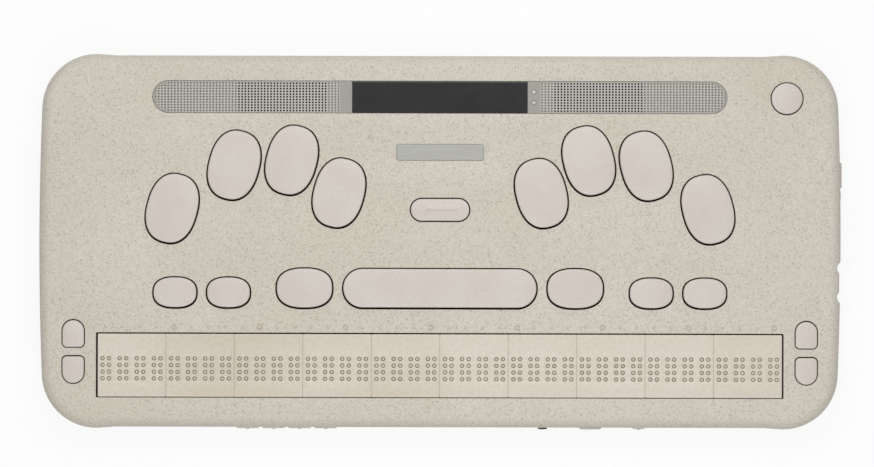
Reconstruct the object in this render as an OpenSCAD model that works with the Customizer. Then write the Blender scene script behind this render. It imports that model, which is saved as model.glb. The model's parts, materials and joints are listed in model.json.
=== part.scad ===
// Braille notetaker: a two-shell case with a braille keyboard on its deck, a strip of speaker
// grilles and a message window behind the keys, and a forty-cell piezo braille display in front.
// Millimetres; +X is right, +Y is the rear, +Z is up, and the feet stand on z = 0.

/* [Case] */
// Width of the case, left to right
body_w = 300; // [298:0.5:306]
// Depth of the case, front to rear
body_d = 140; // [139:0.5:145]
// Corner radius of the case, seen from above
corner_r = 20.5; // [17:0.5:23]
// Height of the lower shell, up to the parting line
lower_h = 7; // [6.5:0.5:9]
// Height of the upper shell, from the parting line to the deck
upper_h = 11.5; // [11.5:0.5:14]
// Wall thickness of both shells
wall_t = 2.2; // [1.8:0.1:2.6]
// Thickness of the deck
deck_t = 2; // [1.8:0.1:2.4]
// Thickness of the floor
floor_t = 1.8; // [1.6:0.1:2.2]
// Radius of the rolled edge around the deck
deck_edge_r = 4; // [3:0.5:5]
// Radius of the rolled edge around the floor
floor_edge_r = 3; // [2:0.5:4]
// Set-back of the front and rear faces between the corners
face_setback = 0.5; // [0.2:0.1:0.8]
// Length of each proud corner along the front and rear faces
proud_corner = 28; // [24:1:32]
// Thickness of the locating tongue on the lower shell
tongue_t = 1.1; // [0.8:0.1:1.4]
// Height of the locating tongue above the parting line
tongue_h = 1.4; // [1:0.1:2]

/* [Feet and screws] */
// Height at which the case stands on its feet
foot_stand = 1; // [0.6:0.1:2]
// Diameter of each rubber foot
foot_d = 10; // [8:0.5:12]
// Depth of the seat of each foot
foot_seat = 0.5; // [0.3:0.1:0.8]
// Distance of the feet from the sides of the case
foot_side = 22; // [18:0.5:24]
// Distance of the feet from the front and the rear of the case
foot_end = 16; // [14:0.5:18]
// Shank diameter of the case screws
case_screw_d = 2.5; // [2:0.1:2.8]
// Shank diameter of the small screws
small_screw_d = 1.9; // [1.6:0.1:2]

/* [Braille keys] */
// Length of a braille key
finger_l = 25.8; // [25:0.1:26.4]
// Width of a braille key
finger_s = 18.5; // [17.5:0.1:18.9]
// Lean of the braille keys toward the middle, in degrees
finger_lean = 15; // [14:0.5:16]
// First key from the middle, sideways
finger_1_x = 37.8; // [37.4:0.1:38.1]
// First key from the middle, rearward
finger_1_y = 18.2; // [17.8:0.1:18.5]
// Second key from the middle, sideways
finger_2_x = 55.5; // [55.2:0.1:55.8]
// Second key from the middle, rearward
finger_2_y = 30.4; // [30.1:0.1:30.7]
// Third key from the middle, sideways
finger_3_x = 77; // [76.8:0.1:77.4]
// Third key from the middle, rearward
finger_3_y = 28.5; // [28.2:0.1:28.8]
// Outermost key, sideways
finger_4_x = 100.1; // [99.5:0.1:102]
// Outermost key, rearward
finger_4_y = 12.3; // [11:0.1:12.6]
// Rise of the braille keys above the deck
finger_rise = 1.4; // [1:0.1:1.8]

/* [Other keys] */
// Length of a function key
function_l = 15.9; // [15:0.1:16.5]
// Width of a function key
function_s = 11.1; // [10.4:0.1:11.8]
// Distance of the inner function keys from the centre line
function_in_x = 79; // [78.6:0.1:79.4]
// Distance of the outer function keys from the centre line
function_out_x = 99; // [98.6:0.1:99.4]
// Place of the function keys, forward of the middle
function_y = 19.1; // [18.6:0.1:19.6]
// Length of the control and alt keys
modifier_l = 20.6; // [20:0.1:21]
// Width of the control and alt keys
modifier_s = 14.6; // [13.8:0.1:14.8]
// Land between the space bar and the control and alt keys
modifier_land = 4.25; // [4:0.05:4.8]
// Length of the space bar
space_l = 72.1; // [70:0.1:72.6]
// Width of the space bar
space_s = 14.4; // [13.8:0.1:14.8]
// Place of the space bar row, forward of the middle
space_y = 17.4; // [17:0.1:17.8]
// Length of the home key
home_l = 21.8; // [20:0.1:24]
// Width of the home key
home_s = 8.2; // [7.8:0.1:8.8]
// Place of the home key, behind the middle
home_y = 11.9; // [11:0.1:12.4]
// Diameter of the power key
power_d = 11.6; // [11:0.1:12.2]
// Distance of the power key from the right side of the case
power_side = 20.4; // [20:0.1:21]
// Place of the power key, forward of the middle of the strip
power_drop = 0.2; // [0:0.1:0.6]
// Width of a scroll key
scroll_w = 8; // [7.4:0.1:8.4]
// Length of a scroll key
scroll_l = 10; // [9.4:0.1:10.4]
// Distance of the scroll keys from the sides of the case
scroll_side = 13; // [12.6:0.1:13.4]
// Middle of each scroll key pair, behind the middle of the display
scroll_back = 5; // [4.6:0.1:5.6]
// Spacing of the two scroll keys of a pair
scroll_pitch = 13.5; // [13:0.1:14]
// Rise of the function, control, alt and space keys above the deck
typing_rise = 1.2; // [0.9:0.1:1.5]
// Rise of the home, power and scroll keys above the deck
small_rise = 0.7; // [0.5:0.1:1]
// Gap around every key in its hole
key_gap = 0.7; // [0.5:0.05:0.75]
// Travel of every deck key
key_travel = 1.2; // [0.8:0.1:1.3]

/* [Speaker strip] */
// Length of the speaker strip
strip_l = 215; // [210:0.5:218]
// Width of the speaker strip
strip_w = 12.5; // [12:0.1:12.8]
// Distance of the strip from the rear of the case
strip_rear = 16; // [15.4:0.1:16.2]
// Thickness of the grilles and the window
grille_t = 0.8; // [0.6:0.1:0.9]
// Length of the message window
window_l = 65; // [63:0.5:67]
// Diameter of a grille hole
perf_d = 0.5; // [0.44:0.02:0.7]
// Spacing of the grille holes along the strip
perf_pitch_x = 1.2; // [1.15:0.05:1.5]
// Spacing of the grille holes across the strip
perf_pitch_y = 1.02; // [1:0.02:1.1]
// Length of the name plate
plate_l = 32.5; // [30:0.5:34]
// Width of the name plate
plate_s = 6; // [5.6:0.1:6.4]
// Place of the name plate, behind the middle
plate_y = 33.4; // [33:0.1:34]

/* [Braille display] */
// Spacing of the braille cells
cell_pitch = 6.4; // [6.36:0.01:6.42]
// Spacing of the dots along the line
dot_pitch_x = 2.45; // [2.4:0.01:2.5]
// Spacing of the dots across the line
dot_pitch_y = 2.5; // [2.45:0.01:2.55]
// Depth of the caps, front to rear
cap_d = 23.5; // [22.5:0.1:24]
// Height of the caps
cap_h = 4; // [3.6:0.1:4.4]
// Distance of the middle of the display from the front of the case
display_front = 23.6; // [23.4:0.1:24]
// Land left and right of the display, at least
display_land = 21.5; // [21:0.1:21.9]
// Diameter of a pin tip
pin_d = 1.24; // [1.1:0.02:1.3]
// Clearance around a pin in its hole
pin_gap = 0.18; // [0.16:0.01:0.22]
// Rise of a pin when its dot is set
pin_rise = 0.7; // [0.5:0.05:0.8]
// Thickness of a piezo reed
reed_t = 0.4; // [0.3:0.05:0.5]
// Height from one layer of reeds to the next
reed_pitch_z = 1.2; // [1.1:0.05:1.3]

/* [Front and side controls] */
// Width of a media button
media_w = 8.3; // [8:0.1:8.5]
// Height of a media button
media_h = 5; // [4.4:0.1:5.2]
// Spacing of the media buttons
media_pitch = 9.75; // [9.7:0.05:10]
// Middle of the row of media buttons, left of the centre line
media_x = 57.3; // [56:0.1:58]
// Place of the lock switch
lock_x = 38.6; // [38:0.1:39]
// Place of the mode switch
mode_x = 56.5; // [56:0.1:57]
// Place of the front push button
push_x = 74.6; // [74:0.1:75.5]
// Travel of the front buttons and the side key
button_travel = 0.6; // [0.4:0.05:0.7]
// Travel of the slide switches to each side of the middle
slide_travel = 1.5; // [1:0.1:1.6]
// Length of the side key
side_l = 9.6; // [9:0.1:9.8]
// Place of the side key, behind the middle
side_y = 25.2; // [25:0.1:25.8]
// Place of the headphone socket, behind the middle
jack_y = 17.2; // [16.5:0.1:17.4]
// Bore of the headphone socket
jack_bore_d = 3.6; // [3.5:0.05:3.7]
// Middle of the strap bar, forward of the case middle
strap_y = 15; // [14.5:0.1:15.5]
// Spacing of the two strap notches
strap_pitch = 10.8; // [10.4:0.1:11.2]

/* [Inside] */
// Length of the battery pack
battery_l = 100; // [90:1:102]
// Width of the battery pack
battery_w = 46; // [40:1:47]
// Thickness of the battery pack
battery_t = 7.2; // [6:0.2:7.6]
// Thickness of the battery cover
cover_t = 1; // [0.8:0.1:1.1]
// Height of the main board above the floor
board_standoff = 4.4; // [4.2:0.1:4.8]
// Thickness of the main and keyboard boards
board_t = 1.6; // [1.2:0.1:1.8]
// Thickness of the silicone sheet under the keys
mat_t = 0.5; // [0.4:0.1:0.7]
// Height of the silicone domes above their sheet
dome_h = 1.7; // [1.6:0.1:2]

/* [Hidden] */
$fn = 48;
fine = 360;
over = 1;

base_z = foot_stand;
part_z = base_z + lower_h;
deck_z = part_z + upper_h;
deck_low = deck_z - deck_t;
floor_z = base_z + floor_t;
half_w = body_w / 2;
half_d = body_d / 2;
face_y = half_d - face_setback;
inner_w = body_w - 2 * wall_t;
inner_d = body_d - 2 * wall_t;
inner_r = corner_r - wall_t;
setback_ramp = 7;
tongue_gap = 0.2;
tongue_root = 2;
inner_y = half_d - wall_t;
inner_x = half_w - wall_t;
row_land = 70;
row_shift = (half_d - row_land) / 2;
foot_x = half_w - foot_side;
foot_y = half_d - foot_end;
strip_y = half_d - strip_rear - row_shift;
display_y = half_d - display_front - row_shift;
power_x = half_w - power_side;
power_y = strip_y - power_drop;
battery_x = 84 - half_w;
scroll_x = half_w - scroll_side;
scroll_y = display_y - scroll_back;
modifier_x = space_l / 2 + modifier_land + modifier_l / 2;

rim_edge = 0.45;
rim_run = 1.6;
skirt_t = 1.3;
crust_t = 1.2;
tab_gap = 0.3;
tab_t = 1;
tab_over = 1;
stem_r = 1.8;
stem_reach = 0.5;
finger_n = 2.36;
typing_n = 2.46;
finger_sag = 0.6;
typing_sag = 0.5;
small_sag = 0.3;
scroll_tight_r = 1.6;
oval_points = 36;
arc_steps = 8;
skirt_drop = deck_t + tab_gap + tab_t;
stem_drop = skirt_drop + stem_reach;
home_line_l = 10;
home_line_s = 0.7;
home_line_h = 0.3;

dome_top = deck_z - stem_drop;
mat_top = dome_top - dome_h;
mat_low = mat_top - mat_t;
key_board_low = mat_low - board_t;
dome_base_r = 3;
dome_skin = 0.5;
post_r = 2.4;
post_gap = 0.5;
small_screw_l = 5;
small_head_r = 1.9;
small_head_h = 1.2;
thread_gap = 0.06;
hole_gap = 0.2;
board_side = 29;
board_half_x = half_w - board_side;
board_front = cap_d / 2 + 3.65 - display_y;
board_rear = strip_y - 10;
wing_in = scroll_x - 6.5;
wing_out = scroll_x + 6;
wing_front = -scroll_y - 14.2;
wing_rear = 13.9 - scroll_y;
power_wing_rear = power_y + 7.2;
power_wing_in = power_x - 17.6;
power_wing_out = power_x + 6.8;
mat_margin = 0.8;
post_rear = strip_y - 18;
post_mid = strip_y - 30;
post_front = strip_y - 60;
post_inner = strip_y - 58;
post_rear_x = board_half_x - 9;
post_front_x = board_half_x - 5;
post_inner_x = 66;
post_places = [
    [-post_rear_x, post_rear], [post_rear_x, post_rear],
    [-post_front_x, post_front], [post_front_x, post_front],
    [0, post_mid],
    [-post_inner_x, post_inner], [post_inner_x, post_inner]
];

side_screw_x = half_w - 9;
side_screw_y = 38;
front_screw_x = half_w - 17;
front_screw_y = half_d - 8.5;
rear_screw_x = 62;
rear_screw_y = half_d - 6;
case_screw_places = [
    [-side_screw_x, side_screw_y], [side_screw_x, side_screw_y],
    [-front_screw_x, -front_screw_y], [front_screw_x, -front_screw_y],
    [-rear_screw_x, rear_screw_y], [rear_screw_x, rear_screw_y]
];
boss_r = 3.4;
case_head_r = 2.3;
case_head_h = 1.6;
head_sink = 2;
case_screw_grip = 5;

strip_sink = 0.1;
strip_depth = grille_t + strip_sink;
strip_gap = 0.1;
perf_margin = 0.55;
grille_land = 5;
speaker_in = 40;
speaker_l = 36;
speaker_w = 9.4;
speaker_t = 5;
speaker_rim = 1.4;
view_l = 58;
view_w = 8.4;
lcd_margin = 2;
lcd_t = 2.6;
lens_r = 0.8;
lens_gap = 0.1;
lens_x = window_l / 2 + grille_land / 2;
lens_pitch = 4;
lens_l = 6;
plate_t = 0.6;
plate_seat = 0.5;
plate_r = 1;
plate_gap = 0.1;

cells_per_cap = 4;
cap_pitch = cells_per_cap * cell_pitch;
caps = floor((body_w - 2 * display_land) / cap_pitch);
cells = caps * cells_per_cap;
cap_split = 0.1;
cap_side_gap = 0.5;
cap_front_gap = 0.4;
cap_top_t = 1.2;
cap_skirt_t = 0.8;
cap_low = deck_z - cap_h;
dots_forward = 1.2;
dot_row_y = [for (i = [0:3]) -display_y - dots_forward + (1.5 - i) * dot_pitch_y];
pin_r = pin_d / 2;
collar_r = 0.95;
collar_h = 0.6;
pin_tip_h = 0.4;
collar_stop = 0.15;
braille_board_t = 1.2;
carrier_base_t = 0.8;
carrier_low = floor_z + braille_board_t;
carrier_floor = carrier_low + carrier_base_t;
carrier_side_t = 0.6;
carrier_gap = 0.4;
carrier_w = cap_pitch - carrier_gap;
carrier_front = -display_y - cap_d / 2 + 0.25;
carrier_wall = 1.4;
carrier_rear_wall = -display_y + cap_d / 2 - 0.25;
reed_clear = 0.4;
reed_first = carrier_floor + reed_clear;
reed_w = 2;
reed_tip = 1.1;
clamp_rear = 34.4 - display_y;
clamp_front = clamp_rear - 7;
reed_rear = clamp_rear - 2;
clamp_over = 0.6;
reed_slack = 0.1;
marker_y = display_y - 14.1;
marker_r = 0.55;
marker_rise = 0.35;
ring_r = 1.15;
ring_bore_r = 0.55;
marker_group = 5;

control_z = part_z + 3.75;
control_gap = 0.3;
control_proud = 0.5;
control_flange_t = 1.2;
control_lip = 0.9;
bump_r = 0.8;
bump_proud = 0.4;
front_board_y = half_d - 9.7;
front_board_t = 1.2;
front_board_in = -79;
front_board_out = 83;
front_board_top = 16;
switch_deep = 3;
switch_half = 2.6;
well_deep = 2;
well_gap = 0.3;
plunger_r = 1;
plunger_in = 0.5;
lock_w = 3.4;
mode_w = 8;
knob_h = 3.2;
knob_proud = 0.7;
knob_gap = 0.15;
neck_h = 2;
lock_neck = 2.2;
mode_neck = 4;
push_w = 4.5;
rib_t = 1;
rib_h = 4;
rib_l = 6;
rib_inset = 8;

main_low = floor_z + board_standoff;
main_top = main_low + board_t;
main_left = battery_x + 60;
main_right = half_w - 19;
main_front = clamp_rear + 4;
main_rear = half_d - 13;
main_post_inset = 6;
jack_tab_front = 11;
jack_tab_rear = 31;
board_edge_gap = 0.4;
jack_tab_out = inner_x - tongue_gap - tongue_t - board_edge_gap;
jack_z = main_top + 2.6;
jack_ring_d = 4.8;
jack_body_l = 12;
jack_body_w = 6;
jack_body_h = 5.2;
jack_bore_l = 13;
jack_gap = 0.2;
jack_proud = 0.1;
side_h = 4;
side_switch_x = half_w - wall_t - control_flange_t - 4.2;
usb_x = half_w - 50;
usb_w = 8.94;
usb_h = 3.26;
usb_l = 7.5;
usb_wall = 0.32;
usb_gap = 0.3;
usb_sink = 0.3;
usb_z = main_top + usb_h / 2;
usb_tab_half = 9;
usb_tab_rear = inner_y - tongue_gap - tongue_t - board_edge_gap;
strap_r = 2.45;
strap_deep = 1.5;
strap_face = 0.6;
strap_bore_r = 1.1;
strap_pocket_r = 2;
strap_pocket_h = 4;
strap_pocket_x = half_w - 2.9;
strap_bore_x = half_w - 3.1;
strap_block = 6.4;
strap_block_half = 10.6;

battery_y = 18;
bay_gap = 0.5;
ledge_end = 8;
ledge_side = 1.6;
cover_gap = 0.2;
bay_l = battery_l + 2 * bay_gap;
bay_w = battery_w + 2 * bay_gap;
cover_l = bay_l + 2 * ledge_end;
cover_w = bay_w + 2 * ledge_side;
cup_r = 3;
cup_h = 2.6;
cup_sink = 1.4;
cover_boss_r = 3.9;
cover_boss_h = 6;
cover_screw_x = bay_l / 2 + ledge_end / 2;

case_tone = [0.79, 0.765, 0.72];
key_tone = [0.825, 0.793, 0.765];
cap_tone = [0.82, 0.79, 0.735];
metal_tone = [0.64, 0.625, 0.6];
plate_tone = [0.71, 0.705, 0.685];
dark_tone = [0.22, 0.22, 0.22];
board_tone = [0.1, 0.35, 0.2];
steel_tone = [0.6, 0.6, 0.62];
rubber_tone = [0.3, 0.3, 0.3];

// Outline of an oval key: a superellipse of the given length, width and fullness
function oval(l, s, n) = [
    for (i = [0:oval_points - 1])
        let (a = 360 * i / oval_points)
        [
            l / 2 * sign(cos(a)) * pow(abs(cos(a)), 2 / n),
            s / 2 * sign(sin(a)) * pow(abs(sin(a)), 2 / n)
        ]
];

// Quarter arc of radius r about a centre, from a start angle
function quarter(centre, r, start) = [
    for (i = [0:arc_steps])
        centre + r * [cos(start + 90 * i / arc_steps), sin(start + 90 * i / arc_steps)]
];

// Outline of a bar with one corner radius at the rear and another at the front
function bar(l, s, rear_r, front_r) = concat(
    quarter([l / 2 - rear_r, s / 2 - rear_r], rear_r, 0),
    quarter([rear_r - l / 2, s / 2 - rear_r], rear_r, 90),
    quarter([front_r - l / 2, front_r - s / 2], front_r, 180),
    quarter([l / 2 - front_r, front_r - s / 2], front_r, 270)
);

// Radius of a crown that falls by sag at half its length
function crown_radius(half, sag) = (half * half + sag * sag) / (2 * sag);

// Fully rounded bar outline, just short of a full half circle
function pill(l, s) = bar(l, s, s / 2 - 0.05, s / 2 - 0.05);

function finger_outline(grow) = oval(finger_l + 2 * grow, finger_s + 2 * grow, finger_n);
function function_outline(grow) = oval(function_l + 2 * grow, function_s + 2 * grow, typing_n);
function modifier_outline(grow) = oval(modifier_l + 2 * grow, modifier_s + 2 * grow, typing_n);
function space_outline(grow) = pill(space_l + 2 * grow, space_s + 2 * grow);
function home_outline(grow) = pill(home_l + 2 * grow, home_s + 2 * grow);
function power_outline(grow) = oval(power_d + 2 * grow, power_d + 2 * grow, 2);
function scroll_outline(grow) = bar(
    scroll_w + 2 * grow,
    scroll_l + 2 * grow,
    scroll_w / 2 + grow - 0.05,
    max(scroll_tight_r + grow, 0.4)
);

function finger_place(i) = [
    [finger_1_x, finger_1_y + row_shift],
    [finger_2_x, finger_2_y + row_shift],
    [finger_3_x, finger_3_y + row_shift],
    [finger_4_x, finger_4_y + row_shift]
][i];

function media_place(i) = -media_x + (i - 1.5) * media_pitch;
function reed_layer(row) = reed_first + (3 - row) * reed_pitch_z;
function cap_x(i) = (i - (caps - 1) / 2) * cap_pitch;
function cell_x(i) = (i - (cells - 1) / 2) * cell_pitch;

module quarter_disc(r) {
    intersection() {
        circle(r);
        square(r);
    }
}

// Section of a block whose upper outer edge is rolled by radius e
module rolled_section(reach, h, e) {
    square([reach - e, h]);
    translate([reach - e, 0])
        square([e, h - e]);
    translate([reach - e, h - e])
        quarter_disc(e);
}

// Block with round corners r and a rolled upper edge e, standing on z = 0
module rolled_block(w, d, r, h, e) {
    translate([r - w / 2, r - d / 2, 0])
        cube([w - 2 * r, d - 2 * r, h]);
    for (side = [0, 1]) {
        mirror([0, side, 0])
            translate([0, d / 2 - r, 0])
                rotate([90, 0, 90])
                    linear_extrude(w - 2 * r, center = true)
                        rolled_section(r, h, e);
        mirror([side, 0, 0])
            translate([w / 2 - r, 0, 0])
                rotate([90, 0, 0])
                    linear_extrude(d - 2 * r, center = true)
                        rolled_section(r, h, e);
    }
    for (turn = [0:3]) {
        flip = turn % 3 == 0 ? 1 : -1;
        lift = turn < 2 ? 1 : -1;
        translate([flip * (w / 2 - r), lift * (d / 2 - r), 0])
            rotate([0, 0, 90 * turn])
                rotate_extrude(angle = 90)
                    rolled_section(r, h, e);
    }
}

// Plan outline with four round corners
module round_plan(w, d, r) {
    square([w - 2 * r, d], center = true);
    for (turn = [0, 180])
        rotate(turn)
            translate([w / 2 - r, r - d / 2])
                square([r, d - 2 * r]);
    for (turn = [0:3]) {
        flip = turn % 3 == 0 ? 1 : -1;
        lift = turn < 2 ? 1 : -1;
        translate([flip * (w / 2 - r), lift * (d / 2 - r)])
            rotate(90 * turn)
                quarter_disc(r);
    }
}

// Waste between the proud corners, along the front and rear faces
module setback_waste(low, high) {
    flat = half_w - proud_corner;
    for (side = [0, 1])
        mirror([0, side, 0])
            translate([0, 0, low])
                linear_extrude(high - low)
                    polygon([
                        [-flat - setback_ramp, half_d],
                        [-flat, face_y],
                        [flat, face_y],
                        [flat + setback_ramp, half_d],
                        [flat + setback_ramp, half_d + over],
                        [-flat - setback_ramp, half_d + over]
                    ]);
}

// Notches that leave the strap bar standing on the right face
module strap_waste() {
    for (side = [-1, 1])
        translate([half_w + strap_r - strap_deep, side * strap_pitch / 2 - strap_y, base_z - over])
            cylinder(r = strap_r, h = deck_z - base_z + 2 * over);
    translate([half_w - strap_face, -strap_y - strap_pitch / 2, base_z - over])
        cube([strap_face + over, strap_pitch, deck_z - base_z + 2 * over]);
}

// Tunnel behind the strap bar and the two pockets that lead to it
module strap_tunnel() {
    for (side = [-1, 1])
        translate([strap_pocket_x, side * strap_pitch / 2 - strap_y, control_z - strap_pocket_h / 2]) {
            cylinder(r = strap_pocket_r, h = strap_pocket_h);
            translate([0, -strap_pocket_r, 0])
                cube([half_w - strap_pocket_x + over, 2 * strap_pocket_r, strap_pocket_h]);
        }
    translate([strap_bore_x, -strap_y, control_z])
        rotate([90, 0, 0])
            cylinder(r = strap_bore_r, h = strap_pitch, center = true);
}

module at_finger(hand, i) {
    translate([hand * finger_place(i)[0], finger_place(i)[1], deck_z])
        rotate([0, 0, 90 + hand * finger_lean])
            children();
}

module at_function(x) {
    translate([x, -function_y, deck_z])
        children();
}

module at_row(x) {
    translate([x, -space_y, deck_z])
        children();
}

module at_home() {
    translate([0, home_y + row_shift, deck_z])
        children();
}

module at_power() {
    translate([power_x, power_y, deck_z])
        children();
}

// The front key of a scroll pair is the rear key turned half way round
module at_scroll(hand, rear) {
    translate([hand * scroll_x, rear * scroll_pitch / 2 - scroll_y, deck_z])
        rotate([0, 0, rear > 0 ? 0 : 180])
            children();
}

module key_hole(outline) {
    translate([0, 0, -deck_t - over])
        linear_extrude(deck_t + 2 * over)
            polygon(outline);
}

module key_holes() {
    for (hand = [-1, 1]) {
        for (i = [0:3])
            at_finger(hand, i)
                key_hole(finger_outline(key_gap));
        for (x = [function_in_x, function_out_x])
            at_function(hand * x)
                key_hole(function_outline(key_gap));
        at_row(hand * modifier_x)
            key_hole(modifier_outline(key_gap));
        for (rear = [-1, 1])
            at_scroll(hand, rear)
                key_hole(scroll_outline(key_gap));
    }
    at_row(0)
        key_hole(space_outline(key_gap));
    at_home()
        key_hole(home_outline(key_gap));
    at_power()
        key_hole(power_outline(key_gap));
}

// Prism of a key with a bevelled rim, before its crown is cut
module key_blank(outline, inset_outline, rim_low) {
    hull() {
        translate([0, 0, -skirt_drop])
            linear_extrude(skirt_drop + rim_low)
                polygon(outline);
        translate([0, 0, rim_low])
            linear_extrude(rim_run)
                polygon(inset_outline);
    }
}

// Hollow inside a key and the tabs that stop it under the deck
module key_inside(blank_outline, reach, tab_w, stems) {
    difference() {
        union() {
            children();
            translate([-reach, -tab_w / 2, -skirt_drop])
                cube([2 * reach, tab_w, tab_t]);
        }
        translate([0, 0, -skirt_drop - over])
            linear_extrude(skirt_drop + over - crust_t)
                polygon(blank_outline);
    }
    for (x = stems)
        translate([x, 0, -stem_drop])
            cylinder(r = stem_r, h = stem_drop - crust_t + over / 4);
}

// Key with a crown that falls to every side
module domed_key(outlines, half, reach_half, tab_w, rise, sag) {
    rim_low = rise - sag - rim_edge;
    crown_r = crown_radius(half, sag);
    key_inside(outlines[2], reach_half + key_gap + tab_over, tab_w, [0])
        intersection() {
            key_blank(outlines[0], outlines[1], rim_low);
            translate([0, 0, rise - crown_r])
                sphere(crown_r, $fn = fine);
        }
}

// Key with a crown that falls only to the front and the rear
module barrel_key(outlines, half, reach_half, tab_w, rise, sag, stems) {
    rim_low = rise - sag - rim_edge;
    crown_r = crown_radius(half, sag);
    key_inside(outlines[2], reach_half + key_gap + tab_over, tab_w, stems)
        intersection() {
            key_blank(outlines[0], outlines[1], rim_low);
            translate([0, 0, rise - crown_r])
                rotate([0, 90, 0])
                    cylinder(r = crown_r, h = 2 * reach_half + 2 * over, center = true, $fn = fine);
        }
}

module finger_key(hand, i) {
    color(key_tone)
        at_finger(hand, i)
            domed_key(
                [finger_outline(0), finger_outline(-rim_run), finger_outline(-skirt_t)],
                finger_l / 2, finger_l / 2, 7, finger_rise, finger_sag
            );
}

module function_key(x) {
    color(key_tone)
        at_function(x)
            domed_key(
                [function_outline(0), function_outline(-rim_run), function_outline(-skirt_t)],
                function_l / 2, function_l / 2, 4.6, typing_rise, typing_sag
            );
}

module modifier_key(x) {
    color(key_tone)
        at_row(x)
            domed_key(
                [modifier_outline(0), modifier_outline(-rim_run), modifier_outline(-skirt_t)],
                modifier_l / 2, modifier_l / 2, 5, typing_rise, typing_sag
            );
}

module scroll_key(hand, rear) {
    color(key_tone)
        at_scroll(hand, rear)
            domed_key(
                [scroll_outline(0), scroll_outline(-rim_run), scroll_outline(-skirt_t)],
                scroll_l / 2, scroll_w / 2, 4.6, small_rise, small_sag
            );
}

module space_bar() {
    stem_x = space_l / 2 - space_s;
    color(key_tone)
        at_row(0)
            barrel_key(
                [space_outline(0), space_outline(-rim_run), space_outline(-skirt_t)],
                space_s / 2, space_l / 2, 5, typing_rise, typing_sag, [-stem_x, 0, stem_x]
            );
}

module home_key() {
    color(key_tone)
        at_home() {
            barrel_key(
                [home_outline(0), home_outline(-rim_run), home_outline(-skirt_t)],
                home_s / 2, home_l / 2, 3.6, small_rise, small_sag, [0]
            );
            translate([-home_line_l / 2, -home_line_s / 2, 0])
                cube([home_line_l, home_line_s, small_rise + home_line_h]);
        }
}

module power_key() {
    color(key_tone)
        at_power()
            domed_key(
                [power_outline(0), power_outline(-rim_run), power_outline(-skirt_t)],
                power_d / 2, power_d / 2, 4.6, small_rise, small_sag
            );
}

module strip_plan(grow) {
    round_plan(strip_l + 2 * grow, strip_w + 2 * grow, strip_w / 2 + grow - 0.05);
}

// Recess for the grilles and window, with the openings behind them
module strip_waste() {
    translate([0, strip_y, deck_z - strip_depth])
        linear_extrude(strip_depth + over)
            strip_plan(strip_gap);
    for (hand = [-1, 1])
        translate([hand * (speaker_in + speaker_l / 2), strip_y, deck_low - over])
            linear_extrude(deck_t + over)
                round_plan(speaker_l - 2 * speaker_rim, speaker_w, 2);
    translate([-view_l / 2, strip_y - view_w / 2, deck_low - over])
        cube([view_l, view_w, deck_t + over]);
    for (side = [-1, 1])
        translate([lens_x, strip_y + side * lens_pitch / 2, deck_low - over])
            cylinder(r = lens_r + lens_gap, h = deck_t + over);
}

module plate_waste() {
    translate([0, plate_y + row_shift, deck_z - plate_seat])
        linear_extrude(plate_seat + over)
            round_plan(plate_l + 2 * plate_gap, plate_s + 2 * plate_gap, plate_r);
}

module display_waste() {
    opening_l = caps * cap_pitch + 2 * cap_side_gap;
    opening_d = cap_d + 2 * cap_front_gap;
    translate([-opening_l / 2, -display_y - opening_d / 2, deck_low - over])
        cube([opening_l, opening_d, deck_t + 2 * over]);
}

// Windows in the front and side walls for the buttons, switches and sockets
module wall_waste() {
    low = control_z - media_h / 2 - control_gap;
    deep = wall_t + 2 * over;
    for (i = [0:3])
        translate([media_place(i) - media_w / 2 - control_gap, -half_d - over, low])
            cube([media_w + 2 * control_gap, deep, media_h + 2 * control_gap]);
    translate([push_x - push_w / 2 - control_gap, -half_d - over, low])
        cube([push_w + 2 * control_gap, deep, media_h + 2 * control_gap]);
    for (slot = [[lock_x, lock_neck], [mode_x, mode_neck]]) {
        half = slot[1] / 2 + slide_travel + control_gap;
        translate([slot[0] - half, -half_d - over, control_z - neck_h / 2 - control_gap])
            cube([2 * half, deep, neck_h + 2 * control_gap]);
    }
    translate([inner_x - over, side_y - side_l / 2 - control_gap, control_z - side_h / 2 - control_gap])
        cube([deep, side_l + 2 * control_gap, side_h + 2 * control_gap]);
    translate([inner_x - over, jack_y, jack_z])
        rotate([0, 90, 0])
            cylinder(d = jack_ring_d + 2 * jack_gap, h = deep);
    translate([usb_x, half_d + over, usb_z])
        rotate([90, 0, 0])
            linear_extrude(deep)
                round_plan(usb_w + 2 * usb_gap, usb_h + 2 * usb_gap, usb_h / 2 + usb_gap - 0.05);
}

// Raised dots behind the display, one to a cell, with a ring at every fifth cell
module markers() {
    ball_r = crown_radius(marker_r, marker_rise);
    for (i = [0:cells - 1])
        translate([cell_x(i), -marker_y, deck_z])
            if (i % marker_group == marker_group - 1)
                difference() {
                    translate([0, 0, -over / 2])
                        cylinder(r = ring_r, h = marker_rise + over / 2);
                    cylinder(r = ring_bore_r, h = over);
                }
            else
                translate([0, 0, marker_rise - ball_r])
                    sphere(ball_r);
}

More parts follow.
